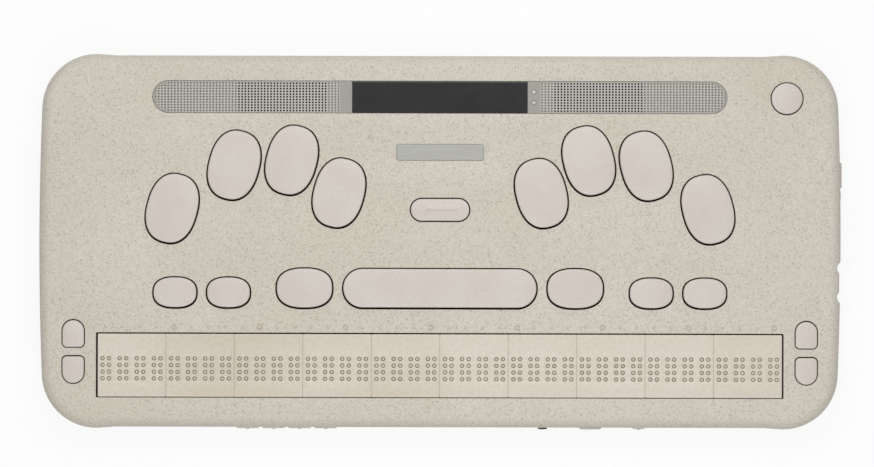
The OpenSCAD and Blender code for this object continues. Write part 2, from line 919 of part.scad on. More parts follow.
module top_case() {
    color(case_tone) {
        difference() {
            union() {
                difference() {
                    translate([0, 0, part_z])
                        rolled_block(body_w, body_d, corner_r, upper_h, deck_edge_r);
                    translate([0, 0, part_z - over])
                        rolled_block(
                            inner_w, inner_d, inner_r, upper_h - deck_t + over, deck_edge_r - wall_t
                        );
                }
                for (p = case_screw_places)
                    translate([p[0], p[1], part_z])
                        cylinder(r = boss_r, h = upper_h - deck_t + over / 2);
                for (p = post_places)
                    translate([p[0], p[1], mat_low])
                        cylinder(r = post_r, h = deck_low - mat_low + over / 2);
                translate([half_w - strap_block, -strap_y - strap_block_half, part_z])
                    cube([strap_block - wall_t / 2, 2 * strap_block_half, upper_h - deck_t + over / 2]);
            }
            setback_waste(part_z - over, deck_z + over);
            key_holes();
            strip_waste();
            plate_waste();
            display_waste();
            wall_waste();
            strap_waste();
            strap_tunnel();
            for (p = case_screw_places)
                translate([p[0], p[1], part_z - over])
                    cylinder(d = case_screw_d + 2 * thread_gap, h = case_screw_grip + 2 * over);
            for (p = post_places)
                translate([p[0], p[1], mat_low - over])
                    cylinder(d = small_screw_d + 2 * thread_gap, h = small_screw_l - board_t + hole_gap + over);
        }
        markers();
    }
}

// Ring that stands inside the upper shell's wall and locates the two shells
module tongue() {
    gap_w = inner_w - 2 * tongue_gap;
    gap_d = inner_d - 2 * tongue_gap;
    gap_r = inner_r - tongue_gap;
    difference() {
        union() {
            translate([0, 0, part_z - tongue_root])
                linear_extrude(tongue_root)
                    round_plan(inner_w + wall_t, inner_d + wall_t, inner_r + wall_t / 2);
            translate([0, 0, part_z - tongue_root])
                linear_extrude(tongue_root + tongue_h)
                    round_plan(gap_w, gap_d, gap_r);
        }
        translate([0, 0, part_z - tongue_root - over])
            linear_extrude(tongue_root + tongue_h + 2 * over)
                round_plan(gap_w - 2 * tongue_t, gap_d - 2 * tongue_t, gap_r - tongue_t);
        tongue_breaks();
    }
}

// Breaks in the tongue where controls, sockets, bosses and the strap block stand
module tongue_breaks() {
    high = tongue_h + over;
    breaker = 2 * (wall_t + tongue_t);
    translate([front_board_in - 3, -half_d, part_z])
        cube([front_board_out - front_board_in + 6, breaker, high]);
    translate([usb_x - usb_tab_half - 2, half_d - breaker, part_z])
        cube([2 * usb_tab_half + 4, breaker, high]);
    translate([half_w - breaker, jack_tab_front - 2, part_z])
        cube([breaker, jack_tab_rear - jack_tab_front + 4, high]);
    translate([half_w - breaker, -strap_y - strap_block_half - 1, part_z])
        cube([breaker, 2 * strap_block_half + 2, high]);
    for (p = case_screw_places)
        translate([p[0], p[1], part_z])
            cylinder(r = boss_r + post_gap, h = high);
}

module main_posts(r, low, h) {
    for (x = [main_left + main_post_inset, main_right - main_post_inset])
        for (y = [main_front + main_post_inset, main_rear - main_post_inset])
            translate([x, y, low])
                cylinder(r = r, h = h);
}

module cover_screw_posts(r, low, h) {
    for (side = [-1, 1])
        translate([battery_x + side * cover_screw_x, battery_y, low])
            cylinder(r = r, h = h);
}

module bottom_case() {
    color(case_tone)
        difference() {
            union() {
                difference() {
                    translate([0, 0, part_z])
                        mirror([0, 0, 1])
                            rolled_block(body_w, body_d, corner_r, lower_h, floor_edge_r);
                    translate([0, 0, part_z + over])
                        mirror([0, 0, 1])
                            rolled_block(
                                inner_w, inner_d, inner_r, lower_h - floor_t + over,
                                max(floor_edge_r - wall_t, 0.4)
                            );
                }
                tongue();
                for (p = case_screw_places)
                    translate([p[0], p[1], floor_z - over / 2])
                        cylinder(r = boss_r, h = part_z - floor_z + over / 2);
                main_posts(post_r, floor_z - over / 2, board_standoff + over / 2);
                cover_screw_posts(cover_boss_r, floor_z - over / 2, cover_boss_h + over / 2);
                translate([half_w - strap_block, -strap_y - strap_block_half, floor_z - over / 2])
                    cube([strap_block - wall_t / 2, 2 * strap_block_half, part_z - floor_z + over / 2]);
                for (x = [front_board_in + rib_inset, front_board_out - rib_inset - rib_l])
                    for (y = [-front_board_y + hole_gap, -front_board_y - front_board_t - hole_gap - rib_t])
                        translate([x, y, floor_z - over / 2])
                            cube([rib_l, rib_t, rib_h + over / 2]);
            }
            setback_waste(base_z - over, part_z + over);
            strap_waste();
            translate([battery_x - bay_l / 2, battery_y - bay_w / 2, base_z - over])
                cube([bay_l, bay_w, floor_t + 2 * over]);
            translate([battery_x - cover_l / 2, battery_y - cover_w / 2, base_z - over])
                cube([cover_l, cover_w, cover_t + over]);
            cover_screw_posts(cup_r + cover_gap, base_z - over, cup_h + over);
            cover_screw_posts(small_screw_d / 2 + thread_gap, base_z, cup_sink + small_screw_l + hole_gap);
            main_posts(small_screw_d / 2 + thread_gap, main_low - small_screw_l + board_t - over / 2, small_screw_l);
            for (x = [-foot_x, foot_x], y = [-foot_y, foot_y])
                translate([x, y, base_z - over])
                    cylinder(d = foot_d + 2 * hole_gap, h = foot_seat + over);
            for (p = case_screw_places)
                translate([p[0], p[1], base_z - over]) {
                    cylinder(r = case_head_r + hole_gap, h = head_sink + over);
                    cylinder(d = case_screw_d + 2 * hole_gap, h = lower_h + 2 * over);
                }
        }
}

module battery_cover() {
    color(case_tone)
        difference() {
            union() {
                translate([battery_x - cover_l / 2 + cover_gap, battery_y - cover_w / 2 + cover_gap, base_z])
                    cube([cover_l - 2 * cover_gap, cover_w - 2 * cover_gap, cover_t]);
                cover_screw_posts(cup_r, base_z, cup_h);
            }
            cover_screw_posts(small_head_r + hole_gap, base_z - over, cup_sink + over);
            cover_screw_posts(small_screw_d / 2 + hole_gap, base_z, cup_h + over);
        }
}

module battery_pack() {
    color(dark_tone)
        translate([battery_x, battery_y, base_z + cover_t])
            linear_extrude(battery_t)
                round_plan(battery_l, battery_w, 2);
}

module rubber_feet() {
    color(rubber_tone)
        for (x = [-foot_x, foot_x], y = [-foot_y, foot_y])
            translate([x, y, 0])
                rotate_extrude()
                    polygon([
                        [0, 0],
                        [foot_d / 2 - 0.6, 0],
                        [foot_d / 2, 0.6],
                        [foot_d / 2, foot_stand + foot_seat],
                        [0, foot_stand + foot_seat]
                    ]);
}

// Screw with its head below and its shank upward
module screw(shank_r, shank_l, head_r, head_h) {
    translate([0, 0, -head_h])
        difference() {
            cylinder(r = head_r, h = head_h);
            translate([0, 0, -over])
                cylinder(r = head_r / 2, h = over + head_h / 2, $fn = 6);
        }
    cylinder(r = shank_r, h = shank_l);
}

module case_screws() {
    shank = lower_h - head_sink + case_screw_grip;
    color(steel_tone)
        for (p = case_screw_places)
            translate([p[0], p[1], base_z + head_sink])
                screw(case_screw_d / 2, shank, case_head_r, case_head_h);
}

module small_screw() {
    screw(small_screw_d / 2, small_screw_l, small_head_r, small_head_h);
}

module small_screws() {
    color(steel_tone) {
        for (p = post_places)
            translate([p[0], p[1], key_board_low])
                small_screw();
        for (x = [main_left + main_post_inset, main_right - main_post_inset])
            for (y = [main_front + main_post_inset, main_rear - main_post_inset])
                translate([x, y, main_top])
                    mirror([0, 0, 1])
                        small_screw();
        for (side = [-1, 1])
            translate([battery_x + side * cover_screw_x, battery_y, base_z + cup_sink])
                small_screw();
    }
}

// Perforations that lie wholly inside the grille's margin
module perforations() {
    columns = floor((strip_l - window_l) / 2 / perf_pitch_x);
    rows = floor(strip_w / perf_pitch_y / 2);
    first_x = window_l / 2 + grille_land + perf_margin;
    end_x = strip_l / 2 - strip_w / 2;
    for (i = [0:columns], j = [-rows:rows]) {
        x = first_x + i * perf_pitch_x;
        y = j * perf_pitch_y;
        limit = strip_w / 2 - perf_margin - perf_d / 2;
        if (norm([max(x - end_x, 0), y]) < limit)
            translate([x, y])
                circle(d = perf_d, $fn = 16);
    }
}

module grille_plan() {
    difference() {
        strip_plan(0);
        translate([-strip_l, -strip_w])
            square([strip_l + window_l / 2 + strip_gap, 2 * strip_w]);
        perforations();
    }
}

module speaker_grilles() {
    color(metal_tone)
        translate([0, strip_y, deck_z - strip_depth])
            linear_extrude(grille_t)
                for (side = [0, 1])
                    mirror([side, 0])
                        difference() {
                            grille_plan();
                            for (y = [-1, 1])
                                if (side == 0)
                                    translate([lens_x, y * lens_pitch / 2])
                                        circle(lens_r + lens_gap);
                        }
}

module display_window() {
    color(dark_tone)
        translate([-window_l / 2, strip_y - strip_w / 2, deck_z - strip_depth])
            cube([window_l, strip_w, grille_t]);
}

module lcd_module() {
    color(dark_tone)
        translate([-view_l / 2 - lcd_margin, strip_y - view_w / 2 - lcd_margin, deck_low - lcd_t])
            cube([view_l + 2 * lcd_margin, view_w + 2 * lcd_margin, lcd_t]);
}

module speakers() {
    color(dark_tone)
        for (hand = [-1, 1])
            translate([hand * (speaker_in + speaker_l / 2), strip_y, deck_low - speaker_t])
                difference() {
                    linear_extrude(speaker_t)
                        round_plan(speaker_l, speaker_w + 2 * speaker_rim, 3);
                    translate([0, 0, speaker_t - 1])
                        linear_extrude(2)
                            round_plan(speaker_l - 2 * speaker_rim, speaker_w, 2);
                }
}

module indicator_lenses() {
    color("white")
        for (side = [-1, 1])
            translate([lens_x, strip_y + side * lens_pitch / 2, deck_z - strip_sink - lens_l])
                cylinder(r = lens_r, h = lens_l);
}

module name_plate() {
    color(plate_tone)
        translate([0, plate_y + row_shift, deck_z - plate_seat])
            linear_extrude(plate_t)
                round_plan(plate_l, plate_s, plate_r);
}

// Plan of the keyboard board and of the mat on it
module key_board_plan(inset) {
    translate([inset - board_half_x, board_front + inset])
        square([2 * (board_half_x - inset), board_rear - board_front - 2 * inset]);
    translate([power_wing_in + inset, board_rear - inset - over])
        square([power_wing_out - power_wing_in - 2 * inset, power_wing_rear - board_rear + over]);
    for (side = [0, 1])
        mirror([side, 0]) {
            translate([board_half_x - inset - over, board_front + inset])
                square([wing_out - board_half_x + over, wing_rear - board_front - 2 * inset]);
            translate([wing_in + inset, wing_front + inset])
                square([wing_out - wing_in - 2 * inset, wing_rear - wing_front - 2 * inset]);
        }
}

module key_board() {
    color(board_tone)
        translate([0, 0, key_board_low])
            linear_extrude(board_t)
                difference() {
                    key_board_plan(0);
                    for (p = post_places)
                        translate(p)
                            circle(d = small_screw_d + 2 * hole_gap);
                }
}

// Hollow silicone dome with its foot on z = 0
module dome() {
    difference() {
        cylinder(r1 = dome_base_r, r2 = stem_r + hole_gap, h = dome_h);
        cylinder(r1 = dome_base_r - dome_skin, r2 = stem_r + hole_gap - dome_skin, h = dome_h - dome_skin);
    }
}

module dome_places() {
    for (hand = [-1, 1]) {
        for (i = [0:3])
            at_finger(hand, i)
                children();
        for (x = [function_in_x, function_out_x])
            at_function(hand * x)
                children();
        at_row(hand * modifier_x)
            children();
        at_row(hand * (space_l / 2 - space_s))
            children();
        for (rear = [-1, 1])
            at_scroll(hand, rear)
                children();
    }
    at_row(0)
        children();
    at_home()
        children();
    at_power()
        children();
}

module key_mat() {
    color("gainsboro") {
        difference() {
            translate([0, 0, mat_low])
                linear_extrude(mat_t)
                    difference() {
                        key_board_plan(mat_margin);
                        for (p = post_places)
                            translate(p)
                                circle(post_r + post_gap);
                    }
            dome_places()
                translate([0, 0, mat_low - deck_z - over])
                    cylinder(r = dome_base_r - dome_skin, h = mat_t + 2 * over);
        }
        dome_places()
            translate([0, 0, mat_top - deck_z])
                dome();
    }
}

module cap() {
    w = cap_pitch - cap_split;
    difference() {
        translate([-w / 2, -cap_d / 2 - display_y, cap_low])
            cube([w, cap_d, cap_h]);
        translate([cap_skirt_t - w / 2, cap_skirt_t - cap_d / 2 - display_y, cap_low - over])
            cube([w - 2 * cap_skirt_t, cap_d - 2 * cap_skirt_t, cap_h - cap_top_t + over]);
        for (i = [0:cells_per_cap - 1], column = [-1, 1], y = dot_row_y)
            translate([
                (i - (cells_per_cap - 1) / 2) * cell_pitch + column * dot_pitch_x / 2,
                y,
                deck_z - cap_top_t - over
            ])
                cylinder(d = pin_d + 2 * pin_gap, h = cap_top_t + 2 * over);
    }
}

module braille_caps() {
    color(cap_tone)
        for (i = [0:caps - 1])
            translate([cap_x(i), 0, 0])
                cap();
}

// Frame of one module: base, walls under the cap and the clamp that holds its reeds
module carrier() {
    clamp_top = reed_layer(0) + reed_t + clamp_over;
    front_d = carrier_rear_wall - carrier_front;
    difference() {
        union() {
            translate([-carrier_w / 2, carrier_front, carrier_low])
                cube([carrier_w, clamp_rear - carrier_front, carrier_base_t]);
            translate([-carrier_w / 2, carrier_front, carrier_low])
                cube([carrier_w, front_d, cap_low - carrier_low]);
            translate([-carrier_w / 2, clamp_front, carrier_low])
                cube([carrier_w, clamp_rear - clamp_front, clamp_top - carrier_low]);
        }
        translate([carrier_side_t - carrier_w / 2, carrier_front + carrier_wall, carrier_floor])
            cube([carrier_w - 2 * carrier_side_t, front_d - 2 * carrier_wall, cap_low]);
        translate([carrier_side_t - carrier_w / 2, carrier_front + carrier_wall, carrier_floor])
            cube([carrier_w - 2 * carrier_side_t, front_d, clamp_top - carrier_floor]);
        for (row = [0:3])
            translate([carrier_side_t - carrier_w / 2, clamp_front - over, reed_layer(row)])
                cube([carrier_w - 2 * carrier_side_t, reed_rear - clamp_front + over, reed_t]);
    }
}

module cell_carriers() {
    color("dimgray")
        for (i = [0:caps - 1])
            translate([cap_x(i), 0, 0])
                carrier();
}

module piezo_reeds() {
    color("goldenrod")
        for (i = [0:cells - 1], column = [-1, 1], row = [0:3])
            translate([
                cell_x(i) + column * dot_pitch_x / 2 - reed_w / 2,
                dot_row_y[row] - reed_tip,
                reed_layer(row)
            ])
                cube([reed_w, reed_rear - dot_row_y[row] + reed_tip - reed_slack, reed_t]);
}

module braille_board() {
    margin = 1;
    color(board_tone)
        translate([-caps * cap_pitch / 2, carrier_front - margin, floor_z])
            cube([caps * cap_pitch, clamp_rear - carrier_front + 2 * margin, braille_board_t]);
}

// Stepped pin that stands on its reed; the collar stops it under the cap
module pin(foot_z) {
    collar_top = deck_z - cap_top_t - pin_rise - collar_stop;
    translate([0, 0, foot_z])
        rotate_extrude($fn = 24)
            polygon([
                [0, 0],
                [pin_r, 0],
                [pin_r, collar_top - collar_h - foot_z],
                [collar_r, collar_top - collar_h - foot_z],
                [collar_r, collar_top - foot_z],
                [pin_r, collar_top - foot_z],
                [pin_r, deck_z - pin_tip_h - foot_z],
                [pin_r * 0.75, deck_z - pin_tip_h * 0.35 - foot_z],
                [pin_r * 0.35, deck_z - foot_z],
                [0, deck_z - foot_z]
            ]);
}

module pins(column, row) {
    color(cap_tone)
        for (i = [0:cells - 1])
            translate([cell_x(i) + column * dot_pitch_x / 2, dot_row_y[row], 0])
                pin(reed_layer(row) + reed_t);
}

// Button in the front wall: face, inner flange and the plunger into its switch
module front_button(x, w) {
    face_out = face_y + control_proud;
    flange_y = inner_y - control_gap;
    plunger_l = flange_y - front_board_y - front_board_t - switch_deep + plunger_in;
    translate([x, 0, control_z]) {
        translate([-w / 2, -face_out, -media_h / 2])
            cube([w, face_out - flange_y, media_h]);
        translate([-w / 2, -flange_y, -media_h / 2 - control_lip])
            cube([w, control_flange_t, media_h + 2 * control_lip]);
        translate([0, -flange_y, 0])
            rotate([-90, 0, 0])
                cylinder(r = plunger_r, h = plunger_l);
        translate([0, bump_r - face_out - bump_proud, 0])
            sphere(bump_r);
    }
}

// Slide switch: outer knob, neck through its slot, inner plate and finger into the switch
module slide_switch(x, w, neck) {
    knob_out = face_y + knob_proud;
    plate_y = inner_y - control_gap;
    finger_l = plate_y - front_board_y - front_board_t - switch_deep + plunger_in;
    plate_half = neck / 2 + slide_travel + control_gap + control_lip;
    translate([x, 0, control_z]) {
        translate([-w / 2, -knob_out, -knob_h / 2])
            cube([w, knob_out - face_y - knob_gap, knob_h]);
        translate([-neck / 2, -knob_out + knob_gap, -neck_h / 2])
            cube([neck, knob_out - knob_gap - plate_y + over / 2, neck_h]);
        translate([-plate_half, -plate_y, -knob_h / 2])
            cube([2 * plate_half, control_flange_t, knob_h]);
        translate([-plunger_r, -plate_y, -plunger_r])
            cube([2 * plunger_r, finger_l, 2 * plunger_r]);
    }
}

module lock_switch() {
    color(dark_tone)
        slide_switch(lock_x, lock_w, lock_neck);
}

module mode_switch() {
    color(key_tone)
        slide_switch(mode_x, mode_w, mode_neck);
}

module push_button() {
    color(key_tone)
        front_button(push_x, push_w);
}

module media_button(i) {
    color(key_tone)
        front_button(media_place(i), media_w);
}

module side_key() {
    flange_x = inner_x - control_gap;
    color(key_tone)
        translate([0, side_y, control_z]) {
            translate([flange_x, -side_l / 2, -side_h / 2])
                cube([half_w + control_proud - flange_x, side_l, side_h]);
            translate([flange_x - control_flange_t, -side_l / 2, -side_h / 2 - control_lip])
                cube([control_flange_t, side_l, side_h + 2 * control_lip]);
            translate([side_switch_x - plunger_in, 0, 0])
                rotate([0, 90, 0])
                    cylinder(r = plunger_r, h = flange_x - side_switch_x + plunger_in);
        }
}

// Body of a switch whose plunger well opens toward the front
module switch_body(x, well_half) {
    mouth_y = -front_board_y - front_board_t - switch_deep;
    translate([x, 0, control_z])
        difference() {
            translate([-switch_half - well_half + plunger_r, mouth_y, -switch_half])
                cube([2 * (switch_half + well_half - plunger_r), switch_deep + over / 4, 2 * switch_half]);
            translate([-well_half - well_gap, mouth_y - over, -plunger_r - well_gap])
                cube([2 * (well_half + well_gap), well_deep + over, 2 * (plunger_r + well_gap)]);
        }
}

module front_board() {
    color(board_tone) {
        translate([front_board_in, -front_board_y - front_board_t, floor_z])
            cube([front_board_out - front_board_in, front_board_t, front_board_top - floor_z]);
        for (i = [0:3])
            switch_body(media_place(i), plunger_r);
        switch_body(push_x, plunger_r);
        switch_body(lock_x, plunger_r + slide_travel);
        switch_body(mode_x, plunger_r + slide_travel);
    }
}

module main_board() {
    switch_l = 4;
    color(board_tone) {
        difference() {
            translate([0, 0, main_low])
                linear_extrude(board_t) {
                    translate([main_left, main_front])
                        square([main_right - main_left, main_rear - main_front]);
                    translate([main_right - over, jack_tab_front])
                        square([jack_tab_out - main_right + over, jack_tab_rear - jack_tab_front]);
                    translate([usb_x - usb_tab_half, main_rear - over])
                        square([2 * usb_tab_half, usb_tab_rear - main_rear + over]);
                }
            main_posts(small_screw_d / 2 + hole_gap, main_low - over, board_t + 2 * over);
        }
        translate([24, 4, main_top - over / 4])
            cube([32, 28, 1.6 + over / 4]);
        translate([68, 8, main_top - over / 4])
            cube([14, 12, 1.2 + over / 4]);
        translate([68, 28, main_top - over / 4])
            cube([14, 12, 1.2 + over / 4]);
        difference() {
            translate([side_switch_x - switch_l, side_y - switch_half, main_top - over / 4])
                cube([switch_l, 2 * switch_half, control_z + switch_half - main_top + over / 4]);
            translate([side_switch_x - well_deep, side_y, control_z])
                rotate([0, 90, 0])
                    cylinder(r = plunger_r + well_gap, h = well_deep + over);
        }
    }
}

module audio_jack() {
    body_out = inner_x - jack_gap;
    color(dark_tone)
        difference() {
            union() {
                translate([body_out - jack_body_l, jack_y - jack_body_w / 2, main_top])
                    cube([jack_body_l, jack_body_w, jack_body_h]);
                translate([body_out - over, jack_y, jack_z])
                    rotate([0, 90, 0])
                        cylinder(d = jack_ring_d, h = half_w + jack_proud - body_out + over);
            }
            translate([half_w + jack_proud - jack_bore_l, jack_y, jack_z])
                rotate([0, 90, 0])
                    cylinder(d = jack_bore_d, h = jack_bore_l + over);
        }
}

module usb_c_port() {
    mouth_y = face_y - usb_sink;
    blade_w = 6.7;
    blade_h = 0.7;
    color("silver")
        translate([usb_x, mouth_y, usb_z])
            rotate([90, 0, 0]) {
                difference() {
                    linear_extrude(usb_l)
                        round_plan(usb_w, usb_h, usb_h / 2 - 0.05);
                    translate([0, 0, -over])
                        linear_extrude(usb_l - over + 0.2)
                            round_plan(usb_w - 2 * usb_wall, usb_h - 2 * usb_wall, usb_h / 2 - usb_wall - 0.05);
                }
                translate([-blade_w / 2, -blade_h / 2, 1])
                    cube([blade_w, blade_h, usb_l - 1]);
            }
}

top_case();
bottom_case();
battery_cover();
case_screws();
small_screws();
rubber_feet();
speaker_grilles();
display_window();
lcd_module();
speakers();
indicator_lenses();
name_plate();
finger_key(-1, 0);  // dot_1_key
finger_key(-1, 1);  // dot_2_key
finger_key(-1, 2);  // dot_3_key
finger_key(1, 0);  // dot_4_key
finger_key(1, 1);  // dot_5_key
finger_key(1, 2);  // dot_6_key
finger_key(-1, 3);  // backspace_key
finger_key(1, 3);  // enter_key
function_key(-function_out_x);  // function_1_key
function_key(-function_in_x);  // function_2_key
function_key(function_in_x);  // function_3_key
function_key(function_out_x);  // function_4_key
modifier_key(-modifier_x);  // control_key
modifier_key(modifier_x);  // alt_key
space_bar();
home_key();
power_key();
scroll_key(-1, 1);  // left_scroll_up
scroll_key(-1, -1);  // left_scroll_down
scroll_key(1, 1);  // right_scroll_up
scroll_key(1, -1);  // right_scroll_down
media_button(0);  // media_button_1
media_button(1);  // media_button_2
media_button(2);  // media_button_3
media_button(3);  // media_button_4
lock_switch();
mode_switch();
push_button();
side_key();
braille_caps();
cell_carriers();
piezo_reeds();
braille_board();
pins(-1, 0);  // dot_1_pins
pins(-1, 1);  // dot_2_pins
pins(-1, 2);  // dot_3_pins
pins(1, 0);  // dot_4_pins
pins(1, 1);  // dot_5_pins
pins(1, 2);  // dot_6_pins
pins(-1, 3);  // dot_7_pins
pins(1, 3);  // dot_8_pins
key_mat();
key_board();
main_board();
front_board();
battery_pack();
audio_jack();
usb_c_port();
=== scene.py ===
import json
import math

import bmesh
import bpy
from mathutils import Matrix, Vector

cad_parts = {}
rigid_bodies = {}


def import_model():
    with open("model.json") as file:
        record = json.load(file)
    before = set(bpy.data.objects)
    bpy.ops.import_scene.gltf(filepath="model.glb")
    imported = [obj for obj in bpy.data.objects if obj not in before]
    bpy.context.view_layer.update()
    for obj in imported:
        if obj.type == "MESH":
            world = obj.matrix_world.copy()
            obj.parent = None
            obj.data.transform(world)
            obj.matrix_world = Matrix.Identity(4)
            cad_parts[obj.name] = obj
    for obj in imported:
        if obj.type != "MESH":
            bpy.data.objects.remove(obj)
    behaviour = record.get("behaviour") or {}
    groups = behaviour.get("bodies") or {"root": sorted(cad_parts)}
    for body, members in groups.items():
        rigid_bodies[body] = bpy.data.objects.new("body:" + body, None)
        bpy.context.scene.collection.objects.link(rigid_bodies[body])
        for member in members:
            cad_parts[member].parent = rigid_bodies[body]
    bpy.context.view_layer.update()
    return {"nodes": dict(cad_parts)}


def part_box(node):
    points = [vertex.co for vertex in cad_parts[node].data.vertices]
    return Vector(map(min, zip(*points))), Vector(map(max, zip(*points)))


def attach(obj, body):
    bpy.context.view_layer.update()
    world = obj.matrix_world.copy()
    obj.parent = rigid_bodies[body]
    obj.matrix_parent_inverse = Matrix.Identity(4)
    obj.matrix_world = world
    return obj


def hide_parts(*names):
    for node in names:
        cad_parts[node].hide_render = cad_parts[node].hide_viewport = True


for leftover in list(bpy.data.objects):
    bpy.data.objects.remove(leftover)
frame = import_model()
mm = 0.001  # meshes are worked in millimetres and shrunk to metres at the end
print("frame loaded with", len(frame["nodes"]), "nodes")

case = {  # sizes of the case that the pieces share, in mm
    "width": 300.0,
    "depth": 140.0,
    "cornerR": 20.5,
    "cornerSteps": 14,
    "baseZ": 1.0,
    "partZ": 8.0,
    "deckZ": 19.5,
    "wall": 2.2,
    "deck": 2.0,
    "floor": 1.8,
    "faceY": 69.5,
    "flatX": 122.0,
    "ramp": 7.0,
    "setback": 0.5,
    "bow": 1.0,
    "bowY": 50.0,
    "controlZ": 11.75,
    "straight": 20.0,  # edges of the outline longer than this are its straight runs
    "cuts": {"right": 230, "left": 24, "long": 64},
}
deckZ, controlZ, faceY, halfW = case["deckZ"], case["controlZ"], case["faceY"], case["width"] / 2
near = 0.01  # mm, places closer than this count as one
endFlat, smallFlat = 0.05, 0.02  # mm that a round end keeps straight, on large and on small outlines


def hexToLinear(code):
    parts = [int(code[i:i + 2], 16) / 255 for i in (1, 3, 5)]
    return [p / 12.92 if p <= 0.04045 else ((p + 0.055) / 1.055) ** 2.4 for p in parts] + [1.0]


def addNode(tree, kind, settings=None, links=None):
    node = tree.nodes.new(kind)
    for key, value in (settings or {}).items():
        if isinstance(key, str) and hasattr(node, key):
            setattr(node, key, value)
        else:
            node.inputs[key].default_value = value
    for key, socket in (links or {}).items():
        tree.links.new(socket, node.inputs[key])
    return node


def addNoise(tree, where, size, settings):  # a pattern of that size in mm
    settings = {"Scale": 1 / (size * mm), **settings}
    return addNode(tree, "ShaderNodeTexNoise", settings, {"Vector": where}).outputs["Fac"]


def addRamp(tree, factor, stops):
    node = addNode(tree, "ShaderNodeValToRGB", None, {"Fac": factor})
    ramp = node.color_ramp
    while len(ramp.elements) < len(stops):
        ramp.elements.new(0.5)
    for element, (place, code) in zip(ramp.elements, stops):
        element.position = place
        element.color = hexToLinear(code)
    return node.outputs["Color"]


def mixTo(tree, share, colour, code):
    settings = {"data_type": "RGBA", 7: hexToLinear(code)}
    return addNode(tree, "ShaderNodeMix", settings, {0: share, 6: colour}).outputs[2]


def newMaterial(name, shaderSettings):
    material = bpy.data.materials.new(name)
    material.use_nodes = True
    tree = material.node_tree
    shader = tree.nodes["Principled BSDF"]
    for key, value in shaderSettings.items():
        shader.inputs[key].default_value = value
    where = addNode(tree, "ShaderNodeTexCoord").outputs["Object"]
    return material, tree, shader, where


def setSurface(tree, shader, colour, factor, span):  # roughness follows a pattern over its span
    rough = addNode(tree, "ShaderNodeMapRange", {"To Min": span[0], "To Max": span[1]}, {"Value": factor})
    tree.links.new(colour, shader.inputs["Base Color"])
    tree.links.new(rough.outputs["Result"], shader.inputs["Roughness"])


def setBump(tree, shader, height, strength, deep):
    bump = addNode(tree, "ShaderNodeBump", {"Strength": strength, "Distance": deep * mm}, {"Height": height})
    tree.links.new(bump.outputs["Normal"], shader.inputs["Normal"])


